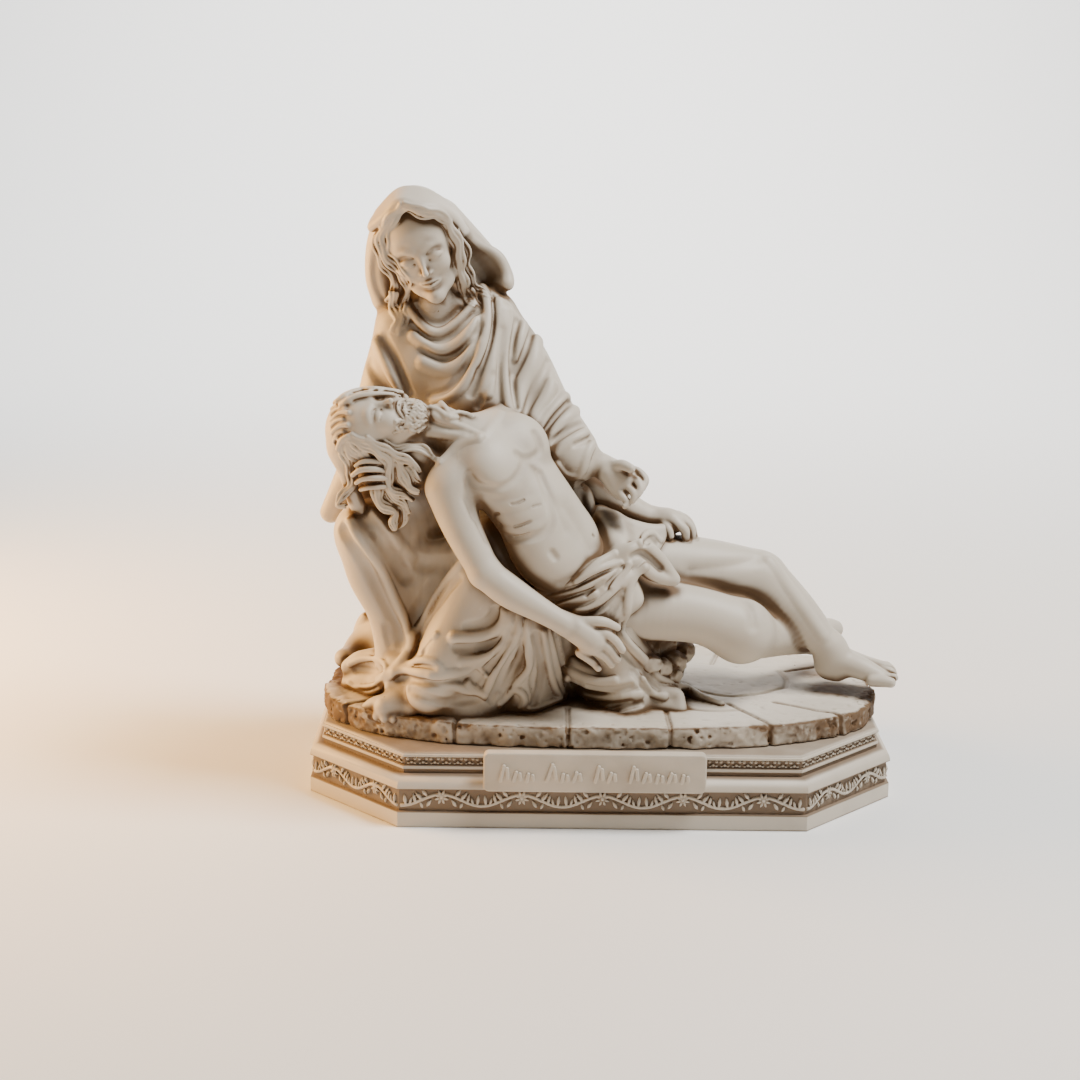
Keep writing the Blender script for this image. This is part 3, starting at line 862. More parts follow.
sonTresses = {
  "tress 1": [4, 4.2, 1.0, 0.5, [[-113.5, 155.5, -48], [-108, 153, -49], [-102, 150, -49], [-97, 146, -48],
    [-96, 141, -47], [-97, 135.5, -46], [-95.5, 132, -46], [-90.5, 129.5, -46], [-85.5, 127, -47]]],
  "tress 2": [4, 4.4, 1.0, 0.5, [[-115, 155, -46], [-112.5, 149, -46], [-107.5, 144.5, -46],
    [-103, 140, -46], [-101.5, 134, -45], [-101.5, 128, -44], [-98.5, 124, -44], [-93.5, 121, -44],
    [-94.5, 116.5, -44], [-94, 113, -43]]],
  "tress 3": [3, 3.2, 0.95, 0.4, [[-106.5, 154.5, -49], [-100, 151, -49], [-94.5, 148, -48],
    [-88.5, 145.5, -48], [-84, 142.5, -48], [-82.5, 139.5, -48]]],
  "tress 4": [3, 3.0, 0.95, 0.4, [[-98.5, 153, -47], [-92.5, 150.5, -46], [-86.5, 151, -45],
    [-81.5, 151, -45], [-77.5, 147.5, -46], [-73, 145, -47]]],
  "tress 5": [3, 3.2, 0.95, 0.5, [[-117.5, 155, -42], [-116.5, 149.5, -42], [-114, 143.5, -42],
    [-112.5, 137, -42], [-114, 131.5, -42], [-118, 128, -42], [-119.5, 124, -42], [-116, 124, -43]]],
  "tress 6": [3, 3.0, 0.95, 0.5, [[-100, 142.5, -44], [-99.5, 137, -44], [-98.5, 131, -43],
    [-94.5, 126.5, -43], [-89.5, 122.5, -43], [-89.5, 118, -42], [-92, 114, -41]]],
  "tress 7": [3, 3.0, 1.0, 0.4, [[-93, 145.5, -47], [-90.5, 141, -47], [-89, 136.5, -47],
    [-86.5, 132.5, -48], [-82.5, 130.5, -49]]],
  "tress 8": [2, 2.0, 0.9, 0.4, [[-87.5, 142.5, -47], [-85, 139, -48], [-82, 135.5, -49]]],
  "tress 9": [3, 3.0, 0.9, 0.4, [[-108, 149, -45], [-104.5, 145, -46], [-100, 140.5, -46],
    [-97.5, 136, -45], [-95, 129.5, -45], [-90, 125.5, -45], [-87, 121, -44]]],
  "far side": [3, 2.2, 1.0, 0.3, [[-117, 171, -30], [-111.5, 174, -28], [-105.5, 175.5, -26],
    [-98, 175.5, -26], [-91, 175, -28]]],
}
strayLocks = {
  "crown 1": [0.9, [[-114.5, 173], [-117, 173.5], [-120, 171]]],
  "crown 2": [1.1, [[-113, 171], [-116.5, 171.5], [-121, 168]]],
  "crown 3": [0.8, [[-115.5, 168.5], [-118.5, 168.5], [-121.5, 166]]],
  "crown 4": [1.0, [[-114, 166.5], [-118, 166.5], [-121.5, 162.5]]],
  "crown 5": [0.85, [[-116.5, 163.5], [-119, 163], [-121.5, 160.5]]],
  "crown 6": [1.1, [[-114.5, 161], [-118, 160.5], [-121, 157.5]]],
  "crown 7": [0.8, [[-116.5, 158], [-119, 157], [-120.5, 153.5]]],
  "crown 8": [1.0, [[-114.5, 156], [-117.5, 154], [-119, 150]]],
  "far curl 1": [1.3, [[-78.5, 171.5], [-74, 171.5], [-71, 169], [-69.5, 166]]],
  "far curl 2": [1.3, [[-69, 165.5], [-65.5, 168.5], [-61.5, 168], [-59, 165]]],
  "far strand 1": [1.4, [[-118.5, 171.5], [-114, 174.5], [-109, 176.5], [-102.5, 177], [-96.5, 176.5],
    [-91, 175.5]]],
  "far strand 2": [1.2, [[-117, 170], [-112.5, 173], [-107, 174.5], [-101, 175], [-94.5, 174.5]]],
  "far curl 3": [1.3, [[-77.5, 169], [-74, 168], [-70.5, 165], [-66, 164.5]]],
}


# Where a ray from outside first meets the clay
def landed(clay, outside, inside):
    share = np.linspace(0, 1, 60)[:, None]
    line = outside * (1 - share) + inside * share
    away = clay.at(line)
    hit = int(np.argmax(away < 0.2))
    return line[hit] if hit and away[hit - 1] < 3 else None


# Short curls from cheek to chin: the spread in degrees to each side, the rest in shares of the head's height
beard = {
    "curls": 150,
    "spread": 84,
    "top": -0.2,
    "bottom": -0.52,
    "length": 0.075,
    "thick": 0.019,
    "mouth": {"level": -0.3, "halfWidth": 0.75},
    "seed": 11,
}
# The moustache on one side: side, level and thickness
moustache = [[0.015, -0.2, 0.016], [0.07, -0.222, 0.022], [0.13, -0.28, 0.014]]


def layBeard(clay, place):
    rng = np.random.default_rng(beard["seed"])
    height = manHead["height"]
    curls = clay.like()
    for n in range(beard["curls"]):
        turn = math.radians(beard["spread"] * rng.uniform(-1, 1))
        level = rng.uniform(beard["bottom"], beard["top"])
        lean = rng.uniform(-0.9, 0.9)
        if level > beard["mouth"]["level"] and abs(turn) < beard["mouth"]["halfWidth"]:
            continue
        line = []
        for t in (0, 0.35, 0.7, 1):
            bend = turn + 0.16 * lean * math.sin(2.6 * t)
            deep = level - beard["length"] * t
            start = deep - 0.25 * (beard["top"] - level)
            outside = place([0.6 * math.sin(bend), 0.1 + 0.6 * math.cos(bend), start])
            met = landed(clay, outside, place([0, 0.1, deep + 0.06]))
            if met is not None:
                line.append([*met, beard["thick"] * height * (1 - 0.5 * t)])
        if len(line) == 4:
            limb(curls, 0.15, line, 2)
    for m in (-1, 1):
        line = []
        for side, level, thick in moustache:
            met = landed(clay, place([side * m, 0.7, level]), place([side * m, 0, level]))
            if met is not None:
                line.append([*met, thick * height])
        if len(line) == 3:
            limb(curls, 0.2, line, 3)
    clay.join(curls, 0.35)


def makeManHead(clay):
    height = manHead["height"]
    axes, place = headFrame(spot(manHead["middle"])[:3], manHead["up"], manHead["forward"], height)
    shapeHead(clay, axes, place, height, manFace)
    mass(clay, 2, place([0, -0.14, 0.16])[:3], manHead["skull"], axes)
    limb(clay, 3, [place([0, -0.05, -0.3, 0.2]), place([0, -0.15, -0.6, 0.2])])
    mass(clay, 2.5, place([0, 0.13, -0.37])[:3], np.array(manHead["bearded"]) * height, axes)
    layLimbs(clay, hairLimbs)
    layBeard(clay, place)
    layTresses(clay, sonTresses)
    layLocks(clay, strayLocks)


# The cloth round his hips and its ends on the stone
loinSheets = {
  "cloth over the hips": [4, 4, [0, 0, 0], [[-27.5, 84, -44], [-7, 94, -48], [9.5, 100, -42]],
    [[-18.5, 73, -46], [0, 70.5, -50], [15, 81.5, -46]]],
  "cloth spread to the stone": [3, 4, [0, 2, -1], [[0, 72.5, -40], [11, 68, -38]], [[-12.5, 38.5, -13],
    [0.5, 32.5, -27], [13, 28, -40], [23, 31, -32], [30, 38.5, -20]]],
  "flap under the far hand": [1.5, 3, [0, 1, 0], [[4.5, 118.5, -15], [17, 115, -16], [28, 114, -12]],
    [[9, 106.5, -32], [17.5, 106.5, -28], [24, 105.5, -20]]],
  "cloth at the far hip": [2.6, 4, [0, 0, 0], [[-2, 122.5, -10], [1.5, 120.5, -13], [6, 118.5, -15]],
    [[0, 101, -36], [5, 101, -39], [10, 104, -40]]],
  "tongue face": [2.4, 3, [0, 0, 0], [[-15.5, 56, -20], [0, 55.5, -22], [10.5, 54, -26], [17, 49, -31]],
    [[-15.5, 46.5, -30], [-4, 41.5, -36], [8.5, 40.5, -40], [16, 43, -40]]],
  "flap face": [1.8, 3, [0, 0, 0], [[22, 36, -32], [28, 36, -33], [35.5, 35.5, -34]], [[26, 30.5, -34],
    [32, 29, -37], [38.5, 28, -39]]],
  "tail": [1.5, 2, [0, 1.4, 0], [[10, 103.5, -43], [17.5, 106.5, -41], [22.5, 104.5, -39],
    [27.5, 99.5, -38], [33.5, 91.5, -38]], [[12, 99, -42], [17.5, 97.5, -42], [22, 94, -42],
    [27.5, 91.5, -40], [33.5, 90.5, -38]]],
  "cloth on the stone": [2.4, 3, [0, 0, 1.5], [[13, 61, -36], [24, 49, -30], [33.5, 42, -24]],
    [[-4, 32.5, -27], [13, 26.5, -43], [22.5, 29.5, -35], [30.5, 30, -35], [36.5, 31, -32]]],
}
loinLimbs = {
  "band at the far side": [3, [[-1, 120.5, -16, 1.6], [2.5, 115, -25, 1.9], [5.5, 109, -33, 2.2],
    [9.5, 103.5, -41, 3]]],
  "knot": [2.5, [[9.5, 102, -42, 4.4], [14, 100, -42, 4]]],
  "tail, upper edge": [2, [[9.5, 102, -43, 3.2], [13, 105, -44, 2.6], [17.5, 107, -41, 2.4],
    [22.5, 104.5, -39, 2.4], [27.5, 99.5, -38, 2.2], [33.5, 91.5, -38, 1.6]]],
  "tail, lower edge": [2, [[12, 100, -42, 2.6], [17.5, 98.5, -42, 2.2], [22, 94, -42, 2],
    [27.5, 92, -40, 1.8], [33.5, 91, -38, 1.6]]],
  "cloth under the far hand": [2.5, [[3.5, 119.5, -14, 2], [13.5, 116.5, -16, 2], [21.5, 114, -14, 2],
    [28, 114.5, -12, 1.8]]],
  "cloth under the far hand, fall": [2.5, [[28, 114.5, -12, 1.8], [26.5, 109, -16, 1.8],
    [24, 105.5, -20, 1.8]]],
  "cloth between the thighs": [8, [[14, 84, -38, 4.6], [12, 71, -36, 3.6], [16.5, 58.5, -30, 2.6],
    [23.5, 49, -24, 2]]],
  "tongue on the stone": [3, [[-18, 53, -26, 4], [-11, 48.5, -30, 4], [-3.5, 44.5, -34, 3.4]]],
  "tongue tip": [2, [[-5, 41.5, -37, 2.4], [6, 40, -40, 2.5], [14, 41.5, -41, 2.5], [17.5, 45.5, -38, 2.5],
    [16.5, 49.5, -33, 2.3], [11, 53.5, -28, 2.2]]],
  "end on the stone": [3, [[23.5, 45, -30, 3.8], [32, 41, -24, 3.8], [40, 38, -17, 3.2],
    [47.5, 34.5, -24, 2.4], [56.5, 31.5, -32, 1.8]]],
  "flap": [2, [[21.5, 37, -33, 2.8], [28, 37, -34, 2.6], [36, 36.5, -35, 2.3], [38, 32, -37, 2],
    [39, 28, -39, 1.6]]],
}
loinFolds = {
  "top edge": [2.4, 2.4, [[-27.5, 84.5], [-19.5, 86.5], [-11.5, 89.5], [-6, 94], [-0.5, 99.5], [5.5, 103]]],
  "top edge 2": [2.0, 1.8, [[-11.5, 89.5], [-5, 93.5], [1, 96.5], [8.5, 98.5]]],
  "top edge, hollow": [2.2, -2.0, [[-22.5, 84.5], [-12.5, 87], [-5, 90.5], [2, 94], [8.5, 97]]],
  "hip fold 1": [2.4, 2.2, [[-24, 81.5], [-16, 84], [-7.5, 87], [0.5, 91], [7.5, 96]]],
  "hip hollow 1": [2.4, -2.0, [[-20.5, 80], [-11.5, 83.5], [-5, 85.5]]],
  "hip hollow 2": [2.2, -2.4, [[-6.5, 83], [-3.5, 86.5], [0.5, 89.5]]],
  "hip fold 2": [2.6, 1.8, [[-18.5, 78], [-10.5, 81], [-3, 84]]],
  "hip fold 3": [2.4, 2.8, [[-10.5, 75], [-4, 77], [1, 81], [5.5, 85], [10, 89], [14.5, 93.5], [20, 97]]],
  "hip hollow 3": [2.6, -2.6, [[-4, 74.5], [1.5, 78], [6, 82], [9.5, 86]]],
  "hip fold 4": [2.0, 2.0, [[5, 87], [7.5, 90.5], [11, 94.5], [12.5, 98]]],
  "hip hollow 4": [2.0, -1.8, [[3, 87.5], [5.5, 92], [9.5, 96.5]]],
  "thigh hollow": [2.6, -2.4, [[2.5, 70.5], [5.5, 76.5], [8.5, 82]]],
  "thigh edge": [2.4, 2.4, [[20, 96.5], [15.5, 92], [13, 87], [12.5, 80.5], [11.5, 73.5], [9.5, 67]]],
  "tail hollow": [2.6, -2.6, [[14, 102], [18, 104], [22, 101], [26.5, 96.5]]],
  "pocket": [2.6, -3.0, [[19.5, 108], [22, 110.5], [24, 108.5]]],
  "pocket, rim": [2.0, 1.8, [[17.5, 108], [20, 112.5], [23.5, 113], [26.5, 109.5]]],
  "spread fold 1": [2.6, 2.6, [[10, 65], [14, 59.5], [18.5, 54], [23.5, 49]]],
  "spread fold 2": [2.6, 2.6, [[20, 43], [22.5, 39], [25.5, 36.5], [30, 35]]],
  "spread hollow 1": [2.6, -3.0, [[16, 47], [20, 41], [23.5, 37]]],
  "spread edge": [2.4, 2.2, [[9.5, 66], [12.5, 61.5], [18.5, 56], [24.5, 50], [27, 45], [32.5, 42.5],
    [40, 39.5]]],
  "spread edge, hollow": [2.6, -2.4, [[6, 62], [11, 56.5], [17.5, 50], [21.5, 44.5], [27, 38]]],
  "tongue slot": [2.2, -4.0, [[-5, 39.5], [1.5, 38], [9, 38.5], [14.5, 40]]],
  "tongue fold": [2.6, 2.2, [[-16.5, 48.5], [-9, 44.5], [-1.5, 42], [7, 43]]],
  "ground fold 1": [2.8, 2.8, [[-15.5, 43.5], [-10.5, 38], [-3, 35], [7, 34.5], [19, 36]]],
  "ground hollow 1": [2.8, -2.6, [[-15, 36], [-7, 32], [2.5, 30.5], [14.5, 32.5]]],
  "ground slot": [2.0, -3.0, [[8.5, 27.5], [13.5, 30], [20, 31.5]]],
}


def makeHipCloth(clay):
    laySheets(clay, loinSheets)
    layLimbs(clay, loinLimbs)
    layFolds(clay, loinFolds, foldStrength)


# Loose stones and the rock under his hip
rubbleMasses = {
  "stone 1": [1, [21.5, 56.5, -22], [6, 5.4, 5]],
  "stone 2": [1, [28.5, 60.5, -16], [6.5, 6.3, 6]],
  "stone 3": [1, [29, 49, -30], [4.6, 4.3, 4.3]],
  "stone 4": [1, [34.5, 52, -22], [5.4, 5.4, 5]],
  "stone 5": [1, [23.5, 51, -34], [4.6, 4.5, 4.3]],
  "stone 6": [1, [38.5, 57.5, -12], [5, 6.4, 5]],
  "stone 7": [1, [33.5, 45, -28], [4.4, 3.6, 4]],
}
rubbleLimbs = {
  "rock under the hip": [4, [[14, 59.5, -18, 13], [26, 54.5, -10, 11], [31.5, 49, -6, 8]]],
}


rubble = {"growth": 1.12, "facets": 1.3, "facetSize": 4.2, "grain": 0.45, "grainSize": 1.7, "finestCell": 1}


# Smooth random heights from -1 to 1 on a lattice of the given step
def lattice(clay, step, seed):
    rng = np.random.default_rng(seed)
    size = [int(clay.cell * n / step) + 3 for n in clay.size]
    heights = rng.uniform(-1, 1, size).astype(np.float32)
    for axis, n in enumerate(clay.size):
        place = np.arange(n) * clay.cell / step
        low = np.floor(place).astype(int)
        t = (place - low).astype(np.float32)
        t = t * t * (3 - 2 * t)
        shape = [1, 1, 1]
        shape[axis] = n
        t = t.reshape(shape)
        heights = np.take(heights, low, axis) * (1 - t) + np.take(heights, low + 1, axis) * t
    return heights


def makeRubble(clay):
    stones = clay.like()
    layLimbs(stones, rubbleLimbs)
    layMasses(stones, rubbleMasses, growth=rubble["growth"])
    if clay.cell < rubble["finestCell"]:
        facets = rubble["facets"] * np.abs(lattice(stones, rubble["facetSize"], 21))
        stones.field += facets + rubble["grain"] * lattice(stones, rubble["grainSize"], 22)
    clay.join(stones)


# The paved stone under the figures
stone = {
    "halfWidth": 125.5,
    "halfDepth": 64.0,
    "squareness": 2.6,
    "sideScale": 60,
    "rounding": 1.5,
    "bottom": 32.3,
    "top": 42.0,
    "roughness": 0.75,
    "grainSize": 5.0,
    "pitDepth": 2.0,
    "jointWidth": 1.9,
    "jointDepth": 2.2,
    "jointOnSide": 0.45,
    "sideStep": 1.2,
}
# Joints between the slabs: middle [x, y], turn and half length
slabJoints = [
    [-112, -36, 0.55, 26],
    [-64, -58, 1.4, 22],
    [-15, -60, 1.57, 22],
    [29, -58, 1.6, 24],
    [70, -52, 2.1, 26],
    [100, -40, 2.6, 26],
    [112, 30, -2.7, 26],
    [60, 54, -1.8, 26],
    [0, 56, -1.57, 26],
    [-60, 54, -1.3, 26],
    [-110, 34, -0.5, 26],
]
# Curved and short joints on the top, each from place to place
slabSeams = [
    [[39, -6], [49, -15], [60, -19], [72, -15], [84, -6]],
    [[85, -6], [87, 6], [85, 19]],
    [[30, -34], [46, -40], [62, -38]],
]


def makeGround(clay, rough=True):
    x, y, z = clay.places((slice(None),) * 3)
    power = stone["squareness"]
    across, back = np.abs(x) / stone["halfWidth"], np.abs(y) / stone["halfDepth"]
    side = ((across**power + back**power) ** (1 / power) - 1) * stone["sideScale"]
    rounded = -smoothMin(-side, -(z - stone["top"]), stone["rounding"])
    clay.field = np.maximum(rounded, stone["bottom"] - z).astype(np.float32)
    clay.field = clay.field + np.zeros(clay.size, np.float32)
    if not rough:
        return
    width, depth = stone["jointWidth"], -stone["jointDepth"]
    for middleX, middleY, turn, half in slabJoints:
        awayX, awayY = half * math.cos(turn), half * math.sin(turn)
        for level in np.arange(stone["top"], stone["bottom"], -stone["sideStep"]):
            ends = [[middleX + m * awayX, middleY + m * awayY, level] for m in (-1, 1)]
            fold(clay, width, depth * (1 if level == stone["top"] else stone["jointOnSide"]), ends)
    for seam in slabSeams:
        fold(clay, width, depth, spline([[*place, stone["top"]] for place in seam], 4))
    edge = np.clip((side + 9) / 8, 0.28, 1)
    size = stone["grainSize"]
    bumps = lattice(clay, 9.0, 2) * 0.7 + lattice(clay, size, 3) * 0.6
    bumps = bumps + lattice(clay, size * 0.42, 4) * 0.35 + lattice(clay, size * 0.2, 5) * 0.2
    clay.field = clay.field + (bumps * edge * stone["roughness"]).astype(np.float32)
    pits = np.clip(lattice(clay, 2.2, 6) - 0.5, 0, 1) * stone["pitDepth"]
    streaks = np.clip(lattice(clay, 3.1, 7) + 0.5 * lattice(clay, 1.1, 8) - 0.62, 0, 1) * stone["pitDepth"]
    clay.field = clay.field + ((pits + streaks) * edge).astype(np.float32)
    clay.field = np.maximum(clay.field, stone["bottom"] - z)


# Meshes: each clay becomes a closed mesh in metres, thinned to its share of faces
def deselectAll():
    bpy.ops.object.select_all(action="DESELECT")


def activate(piece):
    deselectAll()
    piece.select_set(True)
    bpy.context.view_layer.objects.active = piece


def applyModifier(piece, kind, **settings):
    activate(piece)
    modifier = piece.modifiers.new(kind.lower(), kind)
    for key, value in settings.items():
        setattr(modifier, key, value)
    bpy.ops.object.modifier_apply(modifier=modifier.name)


def meshOf(name, clay, triangles):
    grid = openvdb.FloatGrid()
    border = clay.field.copy()
    for axis in range(3):
        ends = [slice(None)] * 3
        for end in (0, -1):
            ends[axis] = end
            border[tuple(ends)] = np.maximum(border[tuple(ends)], 0.5 * clay.cell)
    grid.copyFromArray(border)
    points, _, quads = grid.convertToPolygons(0.0, 0.0)
    points = (points * clay.cell + clay.low) * millimetre
    mesh = bpy.data.meshes.new(name)
    mesh.vertices.add(len(points))
    mesh.vertices.foreach_set("co", points.astype(np.float32).ravel())
    mesh.loops.add(quads.size)
    mesh.loops.foreach_set("vertex_index", quads.astype(np.int32).ravel())
    mesh.polygons.add(len(quads))
    mesh.polygons.foreach_set("loop_start", np.arange(0, quads.size, 4, dtype=np.int32))
    mesh.update(calc_edges=True)
    piece = bpy.data.objects.new(name, mesh)
    bpy.context.scene.collection.objects.link(piece)
    if 2 * len(quads) > triangles:
        applyModifier(piece, "DECIMATE", ratio=triangles / (2 * len(quads)), use_collapse_triangulate=True)
    activate(piece)
    bpy.ops.object.shade_smooth()
    print(name, 2 * len(quads), "->", len(piece.data.polygons))
    return piece


# How deep a point lies in a hollow, from 0 to 1, kept on the mesh for the wash
def markHollows(piece, clays):
    mesh = piece.data
    count = len(mesh.vertices)
    at, normal = np.empty(3 * count), np.empty(3 * count)
    mesh.vertices.foreach_get("co", at)
    mesh.vertices.foreach_get("normal", normal)
    at, normal = at.reshape(-1, 3) / millimetre, normal.reshape(-1, 3)
    hollow = np.zeros(count)
    for clay, steps, share in clays:
        for step in steps:
            away = np.clip(1 - clay.at(at + normal * step) / step, 0, 1)
            hollow += share * away / len(steps)
    layer = mesh.attributes.new("hollow", "FLOAT", "POINT")
    layer.data.foreach_set("value", np.clip(hollow, 0, 1).astype(np.float32))


def finishPiece(piece, slot, *nodes, material=None):
    piece.data.materials.clear()
    piece.data.materials.append(material or castResin)
    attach(piece, "root")
    if nodes:
        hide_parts(*nodes)

# The plinth: flat octagonal slabs, each bevelled at its corners and edges and joined into one
plinth = {
    "width": 260.0,
    "depth": 150.0,
    "corner": 42.0,
    "height": 32.0,
}
# Each slab: inset from the widest outline, bottom, top, rounding of its upper edge, segments
plinthSlabs = {
    "foot band": [0.0, 0.0, 7.0, 0.7, 2],
    "frieze": [1.6, 6.0, 18.0, 0.0, 1],
    "ovolo": [0.0, 17.0, 22.5, 5.2, 7],
    "neck under the fillet": [6.0, 21.0, 26.0, 0.0, 1],
    "lower fillet": [5.4, 24.4, 25.7, 0.35, 2],
    "bead band": [6.9, 25.0, 30.5, 0.0, 1],
    "upper fillet": [5.4, 29.8, 31.0, 0.35, 2],
    "ledge": [6.2, 30.5, 32.0, 1.4, 3],
}


def toMetres(*values):
    return tuple(v * millimetre for v in values)


def selectEdges(piece, chosen):
    bpy.ops.mesh.select_all(action="DESELECT")
    bpy.ops.object.mode_set(mode="OBJECT")
    for edge in piece.data.edges:
        a, b = [piece.data.vertices[v].co for v in edge.vertices]
        edge.select = chosen(a, b)
    bpy.ops.object.mode_set(mode="EDIT")


def octagonSlab(name, inset, bottom, top, rounding, segments):
    deselectAll()
    size = toMetres(plinth["width"] - 2 * inset, plinth["depth"] - 2 * inset, top - bottom)
    bpy.ops.mesh.primitive_cube_add(size=1, location=(0, 0, 0.5 * (top + bottom) * millimetre))
    slab = bpy.context.active_object
    slab.name = name
    slab.scale = size
    bpy.ops.object.transform_apply(location=True, rotation=False, scale=True)
    bpy.ops.object.mode_set(mode="EDIT")
    bpy.ops.mesh.select_mode(type="EDGE")
    selectEdges(slab, lambda a, b: abs(a.z - b.z) > 1e-6)
    bpy.ops.mesh.bevel(offset=cornerAt(inset) * millimetre, segments=1, affect="EDGES")
    if rounding:
        selectEdges(slab, lambda a, b: min(a.z, b.z) > (top - 0.01) * millimetre)
        bpy.ops.mesh.bevel(offset=rounding * millimetre, segments=segments, affect="EDGES")
    bpy.ops.object.mode_set(mode="OBJECT")
    return slab


def makePlinth():
    slabs = [octagonSlab(name, *sizes) for name, sizes in plinthSlabs.items()]
    body = slabs[0]
    for slab in slabs[1:]:
        applyModifier(body, "BOOLEAN", operation="UNION", object=slab, solver="EXACT")
        bpy.data.objects.remove(slab)
    body.name = "plinthBody"
    body.data.name = "plinthBody"
    activate(body)
    bpy.ops.object.shade_smooth_by_angle(angle=math.radians(32))
    return body


# One length of the carved band: a waving stem with a flower and leaves, in its own small clay
vine = {
    "length": 36.0,
    "height": 10.0,
    "proud": 1.3,
    "wave": 2.6,
    "stem": 0.8,
    "leaf": 1.35,
    "petals": 8,
    "flowerLevel": 1.4,
    "petalRoot": 0.9,
    "petalTip": 3.2,
    "tendril": {"side": 10.2, "level": 0.9, "radius": 1.7, "turn": 5.2, "closing": 0.08, "thick": 0.42},
    "cell": 0.22,
    "triangles": 3000,
}
# Leaves on one side of the flower: side and level of root and tip from the middle, and width
vineLeaves = [
    [6.5, 1.9, 8.6, 4.6, 0.62],
    [8.5, -0.4, 11.5, 3.4, 0.55],
    [11.5, -1.6, 12.5, 2.6, 0.6],
    [14.5, -2.2, 13.2, 1.2, 0.5],
    [16.0, -2.4, 16.6, 2.2, 0.6],
    [4.8, -0.2, 6.6, -2.9, 0.6],
    [9.5, -1.2, 8.4, -3.6, 0.5],
]


def makeVineLength():
    half, middle = 0.5 * vine["length"], 0.5 * vine["height"]
    clay = Clay([-half - 0.5, -2.6, -0.2], [half + 0.5, 0.8, vine["height"] + 0.2], vine["cell"] * coarser)
    stem = []
    for x in np.linspace(-half, half, 13):
        level = middle + vine["wave"] * math.cos(2 * math.pi * x / vine["length"])
        stem.append([x, -0.15, level, vine["stem"]])
    limb(clay, 0.3, stem, 2)
    heart = middle + vine["flowerLevel"]
    for n in range(vine["petals"]):
        turn = 2 * math.pi * (n + 0.5) / vine["petals"]
        way = np.array([math.cos(turn), 0, math.sin(turn)])
        root, tip = way * vine["petalRoot"], way * vine["petalTip"]
        petal = [
            [root[0], -0.3, heart + root[2], 0.4],
            [0.6 * tip[0], -0.55, heart + 0.6 * tip[2], 0.72],
            [tip[0], -0.3, heart + tip[2], 0.3],
        ]
        limb(clay, 0.2, petal, 2)
    mass(clay, 0.2, [0, -0.7, heart], [0.9, 0.7, 0.9])
    for m in (-1, 1):
        for x0, z0, x1, z1, size in vineLeaves:
            size *= vine["leaf"]
            root = [m * x0, -0.2, middle + z0, 0.5 * size]
            belly = [m * (0.45 * x0 + 0.55 * x1), -0.55, middle + 0.45 * z0 + 0.55 * z1, size]
            limb(clay, 0.2, [root, belly, [m * x1, -0.3, middle + z1, 0.25]], 2)
        tendril = vine["tendril"]
        curl = []
        for a in np.linspace(0, tendril["turn"], 12):
            radius = tendril["radius"] * (1 - tendril["closing"] * a)
            side, level = tendril["side"] + radius * math.cos(a), tendril["level"] + radius * math.sin(a)
            curl.append([m * side, -0.2, middle + level, tendril["thick"]])
        limb(clay, 0.2, curl, 1)
    piece = meshOf("vineLength", clay, vine["triangles"])
    markHollows(piece, [(clay, (0.5, 1.0), 1.3)])
    return piece


# The cut corner of the octagon at a given inset
def cornerAt(inset):
    return plinth["corner"] - inset * (2 - math.sqrt(2))


def sidesOf(inset):
    w, d = 0.5 * plinth["width"] - inset, 0.5 * plinth["depth"] - inset
    c = cornerAt(inset)
    outline = [(-w, c - d), (c - w, -d), (w - c, -d), (w, c - d)]
    outline += [(-x, -y) for x, y in outline]
    return [(Vector(a), Vector(b)) for a, b in zip(outline, outline[1:] + outline[:1])]


def joinPieces(name, pieces):
    deselectAll()
    for piece in pieces:
        piece.select_set(True)
    bpy.context.view_layer.objects.active = pieces[0]
    bpy.ops.object.join()
    joined = bpy.context.active_object
    joined.name = name
    joined.data.name = name
    return joined


# Copies a mesh along the eight sides, in whole lengths that fill each side
def runRound(name, source, pitch, inset, level, trim=0.0):
    copies = []
    for start, end in sidesOf(inset):
        along = end - start
        room = along.length - 2 * trim
        count = max(1, round(room / pitch))
        turn = math.atan2(along.y, along.x)
        for n in range(count):
            at = start + along.normalized() * (trim + room * (n + 0.5) / count)
            copy = source.copy()
            copy.data = source.data.copy()
            stretch = Matrix.Diagonal((room / count / pitch, 1, 1, 1))
            place = Matrix.Translation(toMetres(at.x, at.y, level)) @ Matrix.Rotation(turn, 4, "Z")
            copy.data.transform(place @ stretch)
            bpy.context.scene.collection.objects.link(copy)
            copies.append(copy)
    bpy.data.objects.remove(source)
    return joinPieces(name, copies)


# One length of the small leafy beading between the fillets; each bead is x, z and half width
bead = {
    "length": 5.0,
    "beads": [[-1.5, 2.9, 0.85], [0.1, 1.5, 0.9], [1.6, 3.0, 0.8], [-1.3, 1.0, 0.6], [1.5, 1.1, 0.65]],
    "proud": 0.9,
    "cell": 0.3,
    "triangles": 220,
}


def makeBeadLength():
    half = 0.5 * bead["length"]
    clay = Clay([-half, -1.6, -0.2], [half, 0.8, 4.4], bead["cell"])
    for x, z, size in bead["beads"]:
        mass(clay, 0.3, [x, -0.1, z], [size, bead["proud"], 0.8 * size])
    piece = meshOf("beadLength", clay, bead["triangles"])
    markHollows(piece, [(clay, (0.5, 1.0), 1.3)])
    return piece


# The raised plate on the front, with rows of plain strokes on it
plate = {
    "width": 95.0,
    "height": 17.5,
    "thickness": 4.6,
    "front": -78.0,
    "middle": -3.5,
    "bottom": 17.5,
    "corner": 2.4,
    "ease": 0.8,
}
